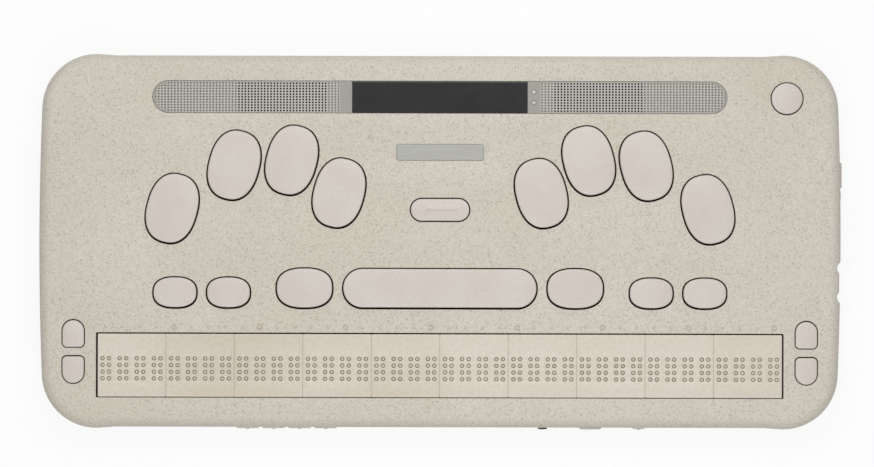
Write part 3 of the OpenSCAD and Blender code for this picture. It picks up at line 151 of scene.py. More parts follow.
# Moulded plastics: a tone that drifts a little, fine flecks or grain, and the grain of the mould
plastic = {"ior": 1.5, "specular": 0.5, "detail": 1.0, "fleckRough": 0.6, "driftSpan": (0.35, 0.65),
           "softDetail": 2.0, "bumpDeep": 0.05}
plasticFinishes = {  # each over the values above
    "speckledPaintedAbs": {  # warm grey paint with fine dark and light flecks, matt to the eye
        "stops": [(0.25, "#a69f92"), (0.36, "#c4beb2"), (0.45, "#cdc7bb"), (0.6, "#d0cabe"),
                  (0.74, "#d9d4ca")],
        "fleck": 0.6, "drift": ("#fbfaf7", "#ffffff"), "driftSize": 45.0,
        "rough": (0.5, 0.62), "bump": 0.12, "bumpSize": 0.35, "specular": 0.42,
    },
    "satinKeyPbt": {  # smooth keys, a shade pinker and lighter than the case, with a soft sheen
        "stops": [(0.3, "#cec6bf"), (0.7, "#d4cdc6")],
        "fleck": 0.9, "drift": ("#faf8f5", "#ffffff"), "driftSize": 16.0,
        "rough": (0.38, 0.46), "bump": 0.05, "bumpSize": 0.25,
    },
    "smoothCapAbs": {  # the reading caps, polished by fingers, warmer than the keys
        "stops": [(0.3, "#d0c8b9"), (0.7, "#d8d0c3")],
        "fleck": 1.4, "drift": ("#f6f3ee", "#ffffff"), "driftSize": 60.0,
        "rough": (0.32, 0.42), "bump": 0.03, "bumpSize": 0.3,
    },
    "turnedAcetalPins": {  # waxy white pin tips, a little darker than the caps
        "stops": [(0.3, "#cbc4b5"), (0.7, "#d8d1c3")],
        "fleck": 0.5, "drift": ("#f4f1ea", "#ffffff"), "driftSize": 20.0,
        "rough": (0.3, 0.4), "bump": 0.03, "bumpSize": 0.2,
    },
    "blackMouldedAbs": {  # charcoal switch knob and socket ring with a fine mould grain
        "stops": [(0.3, "#242425"), (0.7, "#303031")],
        "fleck": 0.4, "detail": 2.0, "drift": ("#e8e8e8", "#ffffff"), "driftSize": 8.0,
        "rough": (0.45, 0.6), "bump": 0.15, "bumpSize": 0.25, "specular": 0.45,
    },
    "gapShadeSilicone": {  # the sheet under the keys, soft and without shine; its dark warm brown is painted shade for the gaps round the keys
        "stops": [(0.3, "#2f2620"), (0.7, "#3a3028")],
        "fleck": 1.2, "detail": 2.0, "drift": ("#e4e4e4", "#ffffff"), "driftSize": 30.0,
        "rough": (0.7, 0.85), "bump": 0.1, "bumpSize": 0.5, "specular": 0.3,
    },
    "greyFootRubber": {  # grey rubber feet, dusty and slightly mottled
        "stops": [(0.3, "#3c3b3a"), (0.7, "#4a4947")],
        "fleck": 0.7, "detail": 3.0, "drift": ("#dcdcdc", "#ffffff"), "driftSize": 4.0,
        "rough": (0.75, 0.9), "bump": 0.25, "bumpSize": 0.4, "specular": 0.3,
    },
    "blackCarrierNylon": {  # glass-filled nylon frames with pale fibre flecks
        "stops": [(0.3, "#232323"), (0.62, "#2d2d2d"), (0.75, "#4a4a48")],
        "fleck": 0.5, "detail": 3.0, "drift": ("#e0e0e0", "#ffffff"), "driftSize": 15.0,
        "rough": (0.5, 0.7), "bump": 0.2, "bumpSize": 0.3, "specular": 0.4,
    },
    "greenBoardLaminate": {  # glass-epoxy board under green resist, the weave just showing
        "stops": [(0.35, "#0f3a22"), (0.65, "#185232")],
        "fleck": 0.6, "detail": 2.0, "drift": ("#d8e0d8", "#ffffff"), "driftSize": 12.0,
        "rough": (0.25, 0.4), "bump": 0.1, "bumpSize": 0.6,
    },
    "greyBatteryFilm": {  # shrink film round the cells, faintly creased
        "stops": [(0.3, "#34373b"), (0.7, "#42464b")],
        "fleck": 3.0, "detail": 2.0, "drift": ("#d8d8d8", "#ffffff"), "driftSize": 25.0,
        "rough": (0.25, 0.45), "bump": 0.2, "bumpSize": 4.0,
    },
    "frostedLensPc": {  # frosted light pipes, unlit, slightly milky
        "stops": [(0.3, "#c2bfb6"), (0.7, "#d2cfc7")],
        "fleck": 0.4, "drift": ("#f0f0f0", "#ffffff"), "driftSize": 3.0,
        "rough": (0.2, 0.35), "bump": 0.04, "bumpSize": 0.2,
    },
}


def plasticMaterial(name, finish):
    finish = {**plastic, **finish}
    shine = {"Specular IOR Level": finish["specular"], "IOR": finish["ior"]}
    material, tree, shader, where = newMaterial(name, shine)
    speckle = {"Detail": finish["detail"], "Roughness": finish["fleckRough"]}
    fleck = addNoise(tree, where, finish["fleck"], speckle)
    cloud = addNoise(tree, where, finish["driftSize"], {"Detail": finish["softDetail"]})
    grain = addNoise(tree, where, finish["bumpSize"], {"Detail": finish["softDetail"]})
    tone = addRamp(tree, fleck, finish["stops"])
    drift = addRamp(tree, cloud, list(zip(finish["driftSpan"], finish["drift"])))
    colour = addNode(tree, "ShaderNodeMix", {"data_type": "RGBA", "blend_type": "MULTIPLY", "Factor": 1.0},
                     {6: tone, 7: drift}).outputs[2]
    setSurface(tree, shader, colour, cloud, finish["rough"])
    setBump(tree, shader, grain, finish["bump"], finish["bumpDeep"])
    return material


# Metals: a brushed or drawn grain along one direction, which streaks the tone and the roughness
metal = {"detail": 3.0, "bumpDeep": 0.03}
metalFinishes = {
    "paintedPunchedSteel": {  # silver-grey lacquer, paler across the hole field; the hole walls below the top take a painted shade, dark
        "stops": [(0.3, "#928f88"), (0.7, "#9c9992")],
        "stretch": (1, 1, 1), "streak": 0.5, "rough": (0.5, 0.6), "metallic": 0.1, "bump": 0.05,
        "fieldTone": "#afaca5", "holeShade": "#1d1b19", "holeShadeBelow": 19.37,
    },
    "brushedAluminiumPlate": {  # plate brushed along its length, pale and softly streaked
        "stops": [(0.3, "#9a9994"), (0.7, "#a6a5a0")],
        "stretch": (0.03, 1, 1), "streak": 0.25, "rough": (0.4, 0.55), "metallic": 0.2, "bump": 0.1,
    },
    "platedScrewSteel": {  # nickel-plated screws, bright with fine turning marks
        "stops": [(0.3, "#9a9a98"), (0.7, "#b4b4b2")],
        "stretch": (1, 1, 6), "streak": 0.3, "rough": (0.25, 0.4), "metallic": 1.0, "bump": 0.08,
    },
    "drawnPortSteel": {  # deep-drawn socket shell, bright with faint draw lines
        "stops": [(0.3, "#a8a8a6"), (0.7, "#bcbcba")],
        "stretch": (1, 0.1, 1), "streak": 0.2, "rough": (0.22, 0.36), "metallic": 1.0, "bump": 0.06,
    },
    "nickelledReed": {  # thin nickel electrode over the ceramic, dull straw grey
        "stops": [(0.3, "#8d8468"), (0.7, "#a49a7c")],
        "stretch": (1, 0.1, 1), "streak": 0.4, "rough": (0.4, 0.55), "metallic": 0.7, "bump": 0.05,
    },
}


def metalMaterial(name, finish):
    material, tree, shader, where = newMaterial(name, {"Metallic": finish["metallic"]})
    turned = addNode(tree, "ShaderNodeMapping", {"Scale": finish["stretch"]}, {"Vector": where})
    streak = addNoise(tree, turned.outputs["Vector"], finish["streak"], {"Detail": metal["detail"]})
    colour = addRamp(tree, streak, finish["stops"])
    if "fieldTone" in finish:  # the mesh marks the hole field, which takes a paler tone
        inField = addNode(tree, "ShaderNodeAttribute", {"attribute_name": "holeField"})
        colour = mixTo(tree, inField.outputs["Fac"], colour, finish["fieldTone"])
    if "holeShade" in finish:  # painted shade: below this height the hole walls are coloured dark
        height = addNode(tree, "ShaderNodeSeparateXYZ", None, {0: where}).outputs["Z"]
        below = {"operation": "LESS_THAN", 1: finish["holeShadeBelow"] * mm}
        inside = addNode(tree, "ShaderNodeMath", below, {0: height})
        colour = mixTo(tree, inside.outputs[0], colour, finish["holeShade"])
    setSurface(tree, shader, colour, streak, finish["rough"])
    setBump(tree, shader, streak, finish["bump"], metal["bumpDeep"])
    return material


windowFinish = {"stops": [(0.3, "#030303"), (0.7, "#060606")], "smear": 9.0, "detail": 4.0, "swirl": 0.8,
                "rough": (0.08, 0.2), "ior": 1.46}


def smokedAcrylic(name, finish):  # smoked window: deep grey, glossy, with faint finger smears
    material, tree, shader, where = newMaterial(name, {"IOR": finish["ior"]})
    wipe = {"Detail": finish["detail"], "Distortion": finish["swirl"]}
    smear = addNoise(tree, where, finish["smear"], wipe)
    setSurface(tree, shader, addRamp(tree, smear, finish["stops"]), smear, finish["rough"])
    return material


materials = {name: plasticMaterial(name, finish) for name, finish in plasticFinishes.items()}
materials.update({name: metalMaterial(name, finish) for name, finish in metalFinishes.items()})
materials["smokedAcrylic"] = smokedAcrylic("smokedAcrylic", windowFinish)
print("materials made:", len(materials))


def vertsOf(geom):
    return [g for g in geom if isinstance(g, bmesh.types.BMVert)]


def edgesOf(geom):
    return [g for g in geom if isinstance(g, bmesh.types.BMEdge)]


def ringEdges(verts):
    return list(dict.fromkeys(edge for vert in verts for edge in vert.link_edges))


def walkRing(edge):  # the vertices of a loose ring, in order
    first, vert = edge.verts
    found = [first]
    while vert != first:
        found.append(vert)
        edge = next(e for e in vert.link_edges if e != edge)
        vert = edge.other_vert(vert)
    return found


def ovalRing(bm, length, width, fullness, points=56):  # a circle pulled to a full oval
    verts = bmesh.ops.create_circle(bm, cap_ends=False, segments=points, radius=1.0)["verts"]
    for vert in verts:
        x, y = vert.co.x, vert.co.y
        vert.co.x = math.copysign(abs(x) ** (2 / fullness), x) * length / 2
        vert.co.y = math.copysign(abs(y) ** (2 / fullness), y) * width / 2
    return verts


def barRing(bm, length, width, rearR, frontR, steps=8, leastR=0.02):  # a rectangle with its corners rounded
    verts = bmesh.ops.create_grid(bm, x_segments=1, y_segments=1, size=0.5)["verts"]
    bmesh.ops.scale(bm, vec=(length, width, 1), verts=verts)
    rear = [v for v in verts if v.co.y > 0]
    front = [v for v in verts if v.co.y < 0]
    for corners, radius in ((rear, rearR), (front, frontR)):
        made = bmesh.ops.bevel(bm, geom=corners, offset=max(radius, leastR), offset_type="OFFSET",
                               segments=steps, profile=0.5, affect="VERTICES", material=-1)
    face = made["verts"][0].link_faces[0]
    verts = list(face.verts)
    bmesh.ops.delete(bm, geom=[face], context="FACES_ONLY")
    return verts


def sideBow(y):  # how far the bowed ends draw in towards the corners
    return case["bow"] * (min(abs(y), case["bowY"]) / case["bowY"]) ** 2


def caseRing(bm, grow):  # outline of the case: bowed ends, front and rear set back between the corners
    width, depth, radius = case["width"] + 2 * grow, case["depth"] + 2 * grow, case["cornerR"] + grow
    verts = barRing(bm, width, depth, radius, radius, case["cornerSteps"])
    for edge in ringEdges(verts):
        if edge.calc_length() > case["straight"]:
            middle = (edge.verts[0].co + edge.verts[1].co) / 2
            side = "long" if abs(middle.x) < 1 else "right" if middle.x > 0 else "left"
            bmesh.ops.subdivide_edges(bm, edges=[edge], cuts=case["cuts"][side])
    verts = walkRing(edge)
    for vert in verts:
        if abs(vert.co.y) > depth / 2 - near:
            share = min(max((case["flatX"] + case["ramp"] - abs(vert.co.x)) / case["ramp"], 0), 1)
            vert.co.y -= math.copysign(case["setback"] * share * share * (3 - 2 * share), vert.co.y)
        if abs(vert.co.x) > case["flatX"]:
            vert.co.x -= math.copysign(sideBow(vert.co.y), vert.co.x)
    return verts


def barOutline(length, width, radius, steps=8):
    return lambda bm, grow: barRing(bm, length + 2 * grow, width + 2 * grow, radius + grow, radius + grow,
                                    steps)


def roundOutline(radius, points=24):
    return lambda bm, grow: bmesh.ops.create_circle(bm, cap_ends=False, segments=points,
                                                    radius=radius + grow)["verts"]


def stackRings(bm, outline, steps, place=Matrix()):  # steps are how far the outline grows and its height
    rings = []
    for i, (grow, _) in enumerate(steps):
        verts = outline(bm, grow)
        bmesh.ops.translate(bm, vec=(0, 0, i), verts=verts)  # apart for now: flat rings bridge with a twist
        rings.append(ringEdges(verts))
    for first, second in zip(rings, rings[1:]):
        bmesh.ops.bridge_loops(bm, edges=first + second)
    for ring, (_, level) in zip(rings, steps):
        for vert in dict.fromkeys(v for edge in ring for v in edge.verts):
            vert.co = place @ Vector((vert.co.x, vert.co.y, level))
    return rings


def roundEdge(radius, steps, grow, level, side=-1):  # quarter round, from the flat top over the edge
    turns = [math.pi / 2 * i / steps for i in range(steps + 1)]
    return [(grow + side * radius * (1 - math.sin(a)), level - radius * (1 - math.cos(a))) for a in turns]


def hollowEdge(radius, steps, grow, level):  # quarter round that leads from a flat down into a hole
    return roundEdge(radius, steps, grow, level, 1)


def fillFlat(bm, rings, normal=(0, 0, 1)):
    made = bmesh.ops.triangle_fill(bm, use_beauty=True, use_dissolve=False,
                                   edges=[e for ring in rings for e in ring], normal=normal)["geom"]
    return [g for g in made if isinstance(g, bmesh.types.BMFace)]


def closeRing(bm, ring):
    return bmesh.ops.edgeloop_fill(bm, edges=ring)["faces"][0]


def closeEnds(bm, rings):
    closeRing(bm, rings[0])
    closeRing(bm, rings[-1])


def copyTo(bm, moves):  # copies of all there is so far
    first = bm.verts[:] + bm.edges[:] + bm.faces[:]
    for move in moves:
        copy = bmesh.ops.duplicate(bm, geom=first)["geom"]
        bmesh.ops.translate(bm, vec=move, verts=vertsOf(copy))


def finishPiece(bm, name, body, material, nodes, sharp=38):
    bmesh.ops.remove_doubles(bm, verts=bm.verts[:], dist=1e-4)
    bmesh.ops.recalc_face_normals(bm, faces=bm.faces[:])
    bmesh.ops.scale(bm, vec=(mm, mm, mm), verts=bm.verts[:])
    mesh = bpy.data.meshes.new(name)
    bm.to_mesh(mesh)
    bm.free()
    mesh.shade_smooth()
    mesh.set_sharp_from_angle(angle=math.radians(sharp))
    mesh.materials.append(materials[material])
    piece = bpy.data.objects.new(name, mesh)
    bpy.context.scene.collection.objects.link(piece)
    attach(piece, body)
    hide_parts(*nodes)
    return piece


wallTurns = {  # outward is -Y, +X and +Y
    "front": Matrix(((1, 0, 0, 0), (0, 0, -1, 0), (0, 1, 0, 0), (0, 0, 0, 1))),
    "right": Matrix(((0, 0, 1, 0), (1, 0, 0, 0), (0, 1, 0, 0), (0, 0, 0, 1))),
    "rear": Matrix(((-1, 0, 0, 0), (0, 0, 1, 0), (0, 1, 0, 0), (0, 0, 0, 1))),
}


def onWall(wall, along, height, outward):  # a place on a wall of the case
    spot = {"front": (along, -outward), "right": (outward, along), "rear": (along, outward)}
    return Matrix.Translation((*spot[wall], height)) @ wallTurns[wall]


# Keys on the deck: outline, place, rise above the deck, fall of the crown and gap to the opening
keySizes = {"skirtDrop": 3.3, "skirt": 1.3, "crust": 1.2, "stub": 1.2, "stubR": 1.8, "rimSteps": 5,
            "endSteps": 14, "cornerSteps": 10, "crown": (0.85, 0.68, 0.5, 0.32, 0.15)}
fingerKey = {"length": 25.8, "width": 18.5, "fullness": 2.36, "rise": 1.4, "sag": 0.45, "rim": 0.5,
             "gap": 0.58, "slack": -0.14, "lean": 15.0,
             "spots": ((37.8, 18.2), (55.5, 30.4), (77.0, 28.5), (100.1, 12.3))}
functionKey = {"length": 15.9, "width": 11.1, "fullness": 2.46, "rise": 1.2, "sag": 0.35, "rim": 0.45,
               "gap": 0.58, "slack": -0.12, "x": (-99, -79, 79, 99), "y": -19.1}
modifierKey = {"length": 20.6, "width": 14.6, "fullness": 2.46, "rise": 1.2, "sag": 0.35, "rim": 0.45,
               "gap": 0.58, "slack": -0.12, "x": 50.6, "y": -17.4}
spaceKey = {"length": 72.1, "width": 14.4, "rise": 1.2, "sag": 0.3, "rim": 0.45, "gap": 0.58, "slack": -0.16,
            "y": -17.4}
homeKey = {"length": 21.8, "width": 8.2, "rise": 0.7, "sag": 0.3, "rim": 0.35, "gap": 0.44, "slack": 0,
           "y": 11.9, "crown": (0.88, 0.76), "line": (10.0, 0.7),
           "linePath": ((0.15, 0), (0.04, 0.06), (0, 0.15), (-0.05, 0.24), (-0.15, 0.3))}
powerKey = {"length": 11.6, "width": 11.6, "fullness": 2.0, "rise": 0.7, "sag": 0.5, "rim": 0.35,
            "gap": 0.38, "slack": -0.05, "x": 129.6, "y": 53.8}
scrollKey = {"length": 8.0, "width": 10.0, "tightR": 1.6, "rise": 0.7, "sag": 0.42, "rim": 0.35,
             "gap": 0.38, "slack": 0.06, "x": 137.0, "pair": (-41.4, 6.75)}


def keyRing(key):
    def ring(bm, grow):
        length, width = key["length"] + 2 * grow, key["width"] + 2 * grow
        if "fullness" in key:
            return ovalRing(bm, length, width, key["fullness"])
        if "tightR" in key:
            return barRing(bm, length, width, length / 2 - endFlat, key["tightR"] + grow,
                           keySizes["cornerSteps"])
        return barRing(bm, length, width, width / 2 - endFlat, width / 2 - endFlat, keySizes["endSteps"])
    return ring


keyPlaces = []  # (node, key, x, y, turn in degrees)
for hand, nodes in ((-1, ("dot_1_key", "dot_2_key", "dot_3_key", "backspace_key")),
                    (1, ("dot_4_key", "dot_5_key", "dot_6_key", "enter_key"))):
    for node, (x, y) in zip(nodes, fingerKey["spots"]):
        keyPlaces.append((node, fingerKey, hand * x, y, 90 + hand * fingerKey["lean"]))
for i, x in enumerate(functionKey["x"]):
    keyPlaces.append(("function_%d_key" % (i + 1), functionKey, x, functionKey["y"], 0))
for node, hand in (("control_key", -1), ("alt_key", 1)):
    keyPlaces.append((node, modifierKey, hand * modifierKey["x"], modifierKey["y"], 0))
keyPlaces.append(("space_bar", spaceKey, 0, spaceKey["y"], 0))
keyPlaces.append(("home_key", homeKey, 0, homeKey["y"], 0))
keyPlaces.append(("power_key", powerKey, powerKey["x"], powerKey["y"], 0))
for side, hand in (("left", -1), ("right", 1)):
    middle, apart = scrollKey["pair"]
    keyPlaces.append((side + "_scroll_up", scrollKey, hand * scrollKey["x"], middle + apart, 0))
    keyPlaces.append((side + "_scroll_down", scrollKey, hand * scrollKey["x"], middle - apart, 180))


def keyPlace(x, y, turn):
    return Matrix.Translation((x, y, deckZ)) @ Matrix.Rotation(math.radians(turn), 4, "Z")


def makeKey(node, key, x, y, turn):
    bm = bmesh.new()
    rise, rim, sag = key["rise"], key["rim"], key["sag"]
    skirt, drop, under = -keySizes["skirt"], -keySizes["skirtDrop"], -keySizes["crust"]
    stub = keySizes["stubR"] - min(key["length"], key["width"]) / 2
    steps = [(stub, under - keySizes["stub"]), (stub, under), (skirt, under), (skirt, drop), (0, drop)]
    steps += roundEdge(rim, keySizes["rimSteps"], 0, rise)[::-1]
    rings = stackRings(bm, keyRing(key), steps)
    closeRing(bm, rings[0])
    crown, last = rings[-1], 1.0
    for share in key.get("crown", keySizes["crown"]):  # rings that carry the crown
        made = bmesh.ops.extrude_edge_only(bm, edges=crown)["geom"]
        crown = edgesOf(made)
        bmesh.ops.scale(bm, vec=(share / last, share / last, 1), verts=vertsOf(made))
        last = share
    if "line" in key:  # the raised line on the home key
        length, across = key["line"]
        line = stackRings(bm, barOutline(length, across, across / 2 - smallFlat, keySizes["endSteps"]),
                          [(grow, rise + up) for grow, up in key["linePath"]])
        fillFlat(bm, [crown, line[0]])
        closeRing(bm, line[-1])
    else:
        bmesh.ops.poke(bm, faces=[closeRing(bm, crown)])
    barrel = "fullness" not in key and "tightR" not in key
    reach = key["width"] / 2 if barrel else max(key["length"], key["width"]) / 2
    crownR = (reach ** 2 + sag ** 2) / (2 * sag)
    for vert in bm.verts:
        if vert.co.z > rise - rim - near:  # the crown falls away from the middle
            away = vert.co.y ** 2 + (0 if barrel else vert.co.x ** 2)
            vert.co.z -= min(away / (2 * crownR), sag)
    bmesh.ops.transform(bm, matrix=keyPlace(x, y, turn), verts=bm.verts[:])
    return finishPiece(bm, node + "_cap", node, "satinKeyPbt", [node])


for keyRow in keyPlaces:
    makeKey(*keyRow)
print("keys made:", len(keyPlaces))


# Deck strip, plate, display and touch marks; a bar is length, width, corner radius and corner steps
strip = {"length": 214.7, "width": 11.95, "x": -0.15, "y": 54.0, "gap": 0.1, "depth": 0.9, "rim": 0.12,
         "endSteps": 16, "speakerX": 59.3, "speaker": (33.2, 11.2, 0.6, 4), "view": (58.0, 8.4, 0.3, 3),
         "lensX": 35.0, "lensY": 2.0, "lensHoleR": 0.9, "lensPoints": 16}
plate = {"length": 32.5, "width": 6.0, "y": 33.4, "cornerR": 1.0, "gap": 0.1, "seat": 0.5, "seatRim": 0.12,
         "thick": 0.6, "rim": 0.1}
display = {"opening": (257.0, 24.3, 0.4, 4), "y": -46.4, "slack": 0.1, "rim": 0.22}
dots = {"rows": (-43.85, -46.35, -48.85, -51.35), "column": 1.225, "cellPitch": 6.4, "cells": 40, "perCap": 4,
        "numbers": ((-1, 0), (-1, 1), (-1, 2), (1, 0), (1, 1), (1, 2), (-1, 3), (1, 3))}  # side, row
upper = {"edgeR": 4.0, "edgeSteps": 9, "land": 6.4, "keyRim": 0.16, "seamR": 0.34, "innerR": 1.8}
markers = {"y": -32.0, "group": 5, "rise": 0.55, "dotR": 0.65, "dotPoints": 10,
           "dotPath": ((0, 0), (0.3, 0.75), (0.55, 0.95), (0.8, 1)),  # shares of the radius and the rise
           "ringR": 1.12, "boreR": 0.62, "slope": 0.18, "ringPoints": 16}
notch = {"y": -15.0, "pitch": 10.8, "r": 2.45, "deep": 1.5, "spare": 0.3, "face": 0.6, "pocket": 2.0,
         "pocketDeep": 3.0}


def notchDepth(y):  # how far the strap notches and the bar between them stand back from the side
    depth = notch["face"] if abs(y - notch["y"]) < notch["pitch"] / 2 else 0
    for side in (-1, 1):
        away = abs(y - notch["y"] - side * notch["pitch"] / 2)
        if away < notch["r"]:
            depth = max(depth, math.sqrt(notch["r"] ** 2 - away ** 2) - notch["r"] + notch["deep"])
    return depth


def cutNotches(bm):
    for vert in bm.verts:
        if vert.co.x > halfW - notch["deep"] - notch["spare"]:
            vert.co.x = min(vert.co.x, halfW - notchDepth(vert.co.y))


wallCut = {"skin": 0.6, "facing": 0.9, "around": (9, 5), "margin": 0.7, "rim": 0.15, "cornerSteps": 6}


def wallFaces(bm, inverse, half, level, outward):
    found = []
    for face in bm.faces:
        middle = inverse @ face.calc_center_median()
        facing = (inverse.to_3x3() @ face.normal).z * outward
        if abs(middle.z - level) < wallCut["skin"] and abs(facing) > wallCut["facing"]:
            if abs(middle.x) < half[0] and abs(middle.y) < half[1]:
                found.append(face)
    return found


def cutRect(bm, place, half, level, outward):  # takes a rectangle out of one skin of a wall
    inverse = place.inverted()
    bm.normal_update()
    wide = [size + more for size, more in zip(half, wallCut["around"])]
    for axis in (0, 1):
        for side in (-1, 1):
            faces = wallFaces(bm, inverse, wide, level, outward)
            geom = list(dict.fromkeys(g for f in faces for g in (*f.edges, *f.verts))) + faces
            point, normal = [0, 0, 0], [0, 0, 0]
            point[axis], normal[axis] = side * half[axis], side
            bmesh.ops.bisect_plane(bm, geom=geom, dist=1e-5, plane_co=place @ Vector(point),
                                   plane_no=place.to_3x3() @ Vector(normal))
    bmesh.ops.delete(bm, geom=wallFaces(bm, inverse, half, level, outward), context="FACES")

    def onRim(vert):
        spot = inverse @ vert.co
        return (abs(spot.z - level) < wallCut["skin"] and abs(spot.x) < half[0] + near
                and abs(spot.y) < half[1] + near)
    return [edge for edge in bm.edges if edge.is_boundary and all(onRim(vert) for vert in edge.verts)]


def cutWindow(bm, place, half, radius):  # an opening through a wall, with a soft rim
    wall = case["wall"]
    rect = (half[0] + wallCut["margin"], half[1] + wallCut["margin"])
    outer = cutRect(bm, place, rect, 0, 1)
    inner = cutRect(bm, place, rect, -wall, -1)
    outline = barOutline(2 * half[0], 2 * half[1], radius, wallCut["cornerSteps"])
    rings = stackRings(bm, outline, hollowEdge(wallCut["rim"], 2, 0, 0) + [(0, -wall)], place)
    outward = place.to_3x3() @ Vector((0, 0, 1))
    fillFlat(bm, [outer, rings[0]], outward)
    fillFlat(bm, [inner, rings[-1]], -outward)


# Controls in the walls
button = {"proud": 0.5, "stem": 3.4, "edge": 0.35, "gap": 0.3, "cornerSteps": 5, "domeR": 0.8,
          "domePoints": 16, "dome": ((0.12, 0), (0, 0.04), (-0.16, 0.26), (-0.48, 0.4))}
media = {"width": 8.3, "height": 5.0, "cornerR": 0.7, "openR": 0.7, "pitch": 9.75, "x": -57.3, "count": 4}
pushButton = {"width": 4.5, "height": 5.0, "cornerR": 0.7, "openR": 0.7, "x": 74.6}
sideKey = {"width": 9.6, "height": 4.0, "cornerR": 1.2, "openR": 1.4, "y": 25.2}
lockSwitch = {"width": 3.4, "height": 3.2, "neck": 2.2, "x": 38.6, "proud": 0.7}
modeSwitch = {"width": 8.0, "height": 3.2, "neck": 4.0, "x": 56.5, "proud": 0.7}
slide = {"neckHeight": 2.0, "neckR": 0.3, "stem": 3.0, "travel": 1.5, "gap": 0.3, "slotR": 0.4, "lift": 0.15,
         "knobR": 0.6, "edge": 0.3, "cornerSteps": 5, "ribMargin": 1.4, "ribPitch": 0.9, "ribWidth": 0.3,
         "ribR": 0.1, "rib": ((0.08, 0), (0, 0.12), (-0.05, 0.18))}
jack = {"y": 17.2, "z": 11.4, "openR": 2.6}
port = {"x": 100.0, "z": 10.43, "width": 9.54, "height": 3.86}
mediaX = [media["x"] + (i - (media["count"] - 1) / 2) * media["pitch"] for i in range(media["count"])]

wallOpenings = []  # (wall, place along it, height, half width and half height, corner radius)
for wall, along, size in (*(("front", x, media) for x in mediaX), ("front", pushButton["x"], pushButton),
                          ("right", sideKey["y"], sideKey)):
    half = (size["width"] / 2 + button["gap"], size["height"] / 2 + button["gap"])
    wallOpenings.append((wall, along, controlZ, half, size["openR"]))
for switch in (lockSwitch, modeSwitch):
    half = (switch["neck"] / 2 + slide["travel"] + slide["gap"], slide["neckHeight"] / 2 + slide["gap"])
    wallOpenings.append(("front", switch["x"], controlZ, half, slide["slotR"]))
half = (jack["openR"], jack["openR"])
wallOpenings.append(("right", jack["y"], jack["z"], half, half[1] - smallFlat))
half = (port["width"] / 2, port["height"] / 2)
wallOpenings.append(("rear", port["x"], port["z"], half, half[1] - smallFlat))


